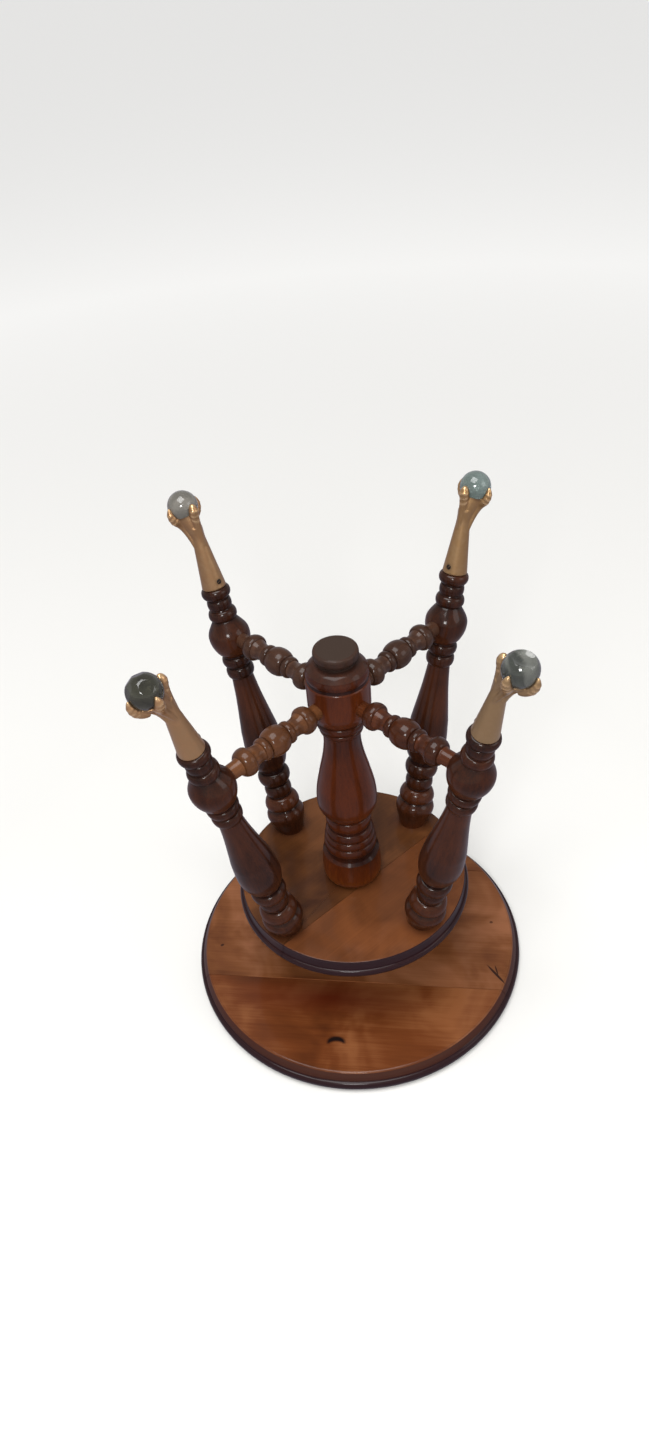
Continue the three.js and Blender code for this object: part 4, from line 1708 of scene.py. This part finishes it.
    def build(
        self,
        casting: bpy.types.Mesh,
        place: Matrix,
        paint: bpy.types.Material,
        glass: bpy.types.Material,
        dark_screw: bpy.types.Material,
    ) -> None:
        """Sets the claw, its ball and its screw on the leg's end.

        Args:
            casting: one claw's mesh in its own frame.
            place: the claw's frame in the model's.
            paint: the claw's material.
            glass: the ball's material.
            dark_screw: the screw's material.
        """
        data = casting.copy()
        data.transform(place)
        claw = bpy.data.objects.new(f"claw_{self.number}_casting", data)
        bpy.context.scene.collection.objects.link(claw)
        data.shade_smooth()
        data.set_sharp_from_angle(angle=math.radians(SHARP_CAST))
        place_piece(claw, paint, Body.FRAME, f"claw_{self.number}")
        ball = self._ball(place)
        place_piece(ball, glass, Body.FRAME, f"glass_ball_{self.number}")
        tilt = Matrix.Rotation(math.pi / 2 + math.radians(self.socket_taper), 4, "Y")
        spot = moved(-self.screw_out, self.screw_height) @ tilt
        screw = CLAW_SCREW.build(f"claw_screw_{self.number}_steel", place @ spot, 35.0 * self.number)
        place_piece(screw, dark_screw, Body.FRAME, f"claw_screw_{self.number}")


# --- Studio ------------------------------------------------------------------------------


@dataclass
class Studio:
    """A plain pale floor, soft lights and the camera. Lengths are metres.

    Attributes:
        sky_depth: how far below the horizon, of a height of 1, the sky's colours begin.
    """

    eye: Vector = field(default_factory=lambda: Vector((0.02411, -0.68465, 0.93512)))
    right: Vector = field(default_factory=lambda: Vector((0.99746, -0.00504, -0.07106)))
    up: Vector = field(default_factory=lambda: Vector((0.05687, 0.65718, 0.75159)))
    lens_mm: float = 24.95
    sensor_mm: float = 36.0
    aim_height: float = 0.25
    floor_size: float = 60.0
    wall: str = "#EFEFEF"
    ceiling: str = "#B4B4B4"
    ground: str = "#B2AEBC"
    sky_depth: float = 0.1

    def _floor(self) -> None:
        """Lays the floor."""
        mesh = bmesh.new()
        bmesh.ops.create_grid(mesh, x_segments=8, y_segments=8, size=self.floor_size / 2)
        floor = as_object("studio_floor", mesh)
        floor.data.materials.append(PaleFloor().material())
        floor.visible_glossy = False

    def _lamp(self, name: str, place: tuple[float, float, float], size: float, power: float) -> None:
        """Hangs one square softbox that faces the stool.

        Args:
            name: the lamp's name.
            place: where it hangs.
            size: its side.
            power: its power in watts.
        """
        light = bpy.data.lights.new(name, "AREA")
        light.shape = "SQUARE"
        light.size = size
        light.energy = power
        lamp = bpy.data.objects.new(name, light)
        lamp.location = place
        aim = Vector((0.0, 0.0, self.aim_height)) - lamp.location
        lamp.rotation_euler = aim.to_track_quat("-Z", "Y").to_euler()
        bpy.context.scene.collection.objects.link(lamp)

    def _camera(self) -> None:
        """Sets up the camera."""
        camera = bpy.data.cameras.new("camera")
        camera.lens = self.lens_mm
        camera.sensor_width = self.sensor_mm
        camera.sensor_fit = "AUTO"
        camera.clip_start = 0.01
        holder = bpy.data.objects.new("camera", camera)
        back = self.right.cross(self.up)
        turned = Matrix((self.right, self.up, back)).transposed().to_4x4()
        holder.matrix_world = Matrix.Translation(self.eye) @ turned
        bpy.context.scene.collection.objects.link(holder)
        bpy.context.scene.camera = holder

    def build(self) -> None:
        """Builds the floor, the walls and ceiling, the lamps and the camera."""
        self._floor()
        world = bpy.data.worlds.new("sky")
        world.use_nodes = True
        nodes = Nodes(world.node_tree)
        # The studio's walls are paler than its ceiling, so the sky is brightest at the horizon.
        # Polish looks through the floor at a dim ground, so that dark wood keeps its colour.
        way = nodes.add("TexCoord", out="Generated")
        height = nodes.add("SeparateXYZ", {0: way}, "Z")
        raised = nodes.add("Math", {0: height, 1: self.sky_depth}, operation="ADD")
        stops = ((0.05, self.ground), (0.6, self.ceiling), (0.08, self.wall))
        walls = nodes.add("ValToRGB", {"Fac": raised}, stops=stops)
        nodes.feed(world.node_tree.nodes["Background"].inputs["Color"], walls)
        bpy.context.scene.world = world
        self._lamp("overhead_softbox", (-0.25, -0.25, 2.2), size=1.3, power=40.0)
        self._lamp("front_window", (-0.22, -1.6, 1.55), size=0.45, power=22.0)
        self._lamp("side_fill", (1.5, -0.5, 1.2), size=0.9, power=6.0)
        bpy.context.scene.view_settings.view_transform = "Standard"
        self._camera()


# --- The stool -------------------------------------------------------------------------------


def main() -> None:
    """Builds the studio and every piece of the stool, in order from the floor up."""
    logging.basicConfig(level=logging.INFO, format="%(name)s: %(message)s")
    Studio().build()
    iron, steel = SandCastIron().material(), AgedSteel().material()
    Seat().build()
    SeatIron().build(iron, steel)
    NutHousing().build(iron, steel)
    LegPlate().build()
    plate_top = frame_box("leg_plate_board_wide")[1].z

    column_wood = ShellacOnTurning("column_shellac", "#70380F", "#4A1F0A", "#200D08").material()
    leg_wood = ShellacOnTurning("leg_shellac", "#64341A", "#42200F", "#1A0C08").material()
    pale_wood = ShellacOnTurning("pale_stretcher_shellac", "#6A4227", "#52311B", "#301A10").material()
    dusty_wood = ShellacOnTurning("dusty_stretcher_shellac", "#5A3D2C", "#3E281D", "#231510").material()
    stretcher_woods = (dusty_wood, dusty_wood, pale_wood, leg_wood)
    Column().build(plate_top, column_wood)

    states = (BallState.CLEAR, BallState.MILKY, BallState.CHIPPED, BallState.DISHED)
    glasses = {
        BallState.CLEAR: PressedGlass("clear_glass", "#67736F", "#7F8D8A", clarity=0.6),
        BallState.MILKY: PressedGlass("milky_glass", "#64615B", "#78746D", clarity=0.35),
        BallState.CHIPPED: PressedGlass("chipped_glass", "#302F27", "#454438", clarity=0.5),
        BallState.DISHED: PressedGlass("dished_glass", "#474A45", "#93948D", clarity=0.55),
    }
    paints = [
        BronzePaint(f"bronze_paint_{i + 1}", paint).material()
        for i, paint in enumerate(("#95744F", "#947150", "#AA835E", "#9C7F5C"))
    ]
    dark_screw = SandCastIron("blackened_screw", "#1D1816", "#33241C", grit_mm=0.5).material()
    casting = Claw(1, BallState.CLEAR).casting()
    for number, state in enumerate(states, start=1):
        leg = Leg(number)
        leg.build(plate_top, leg_wood)
        Stretcher(number).build(stretcher_woods[number - 1])
        claw = Claw(number, state)
        place = leg.place(plate_top) @ moved(0.0, leg.length + claw.gap)
        claw.build(casting, place, paints[number - 1], glasses[state].material(), dark_screw)


if __name__ == "__main__":
    main()
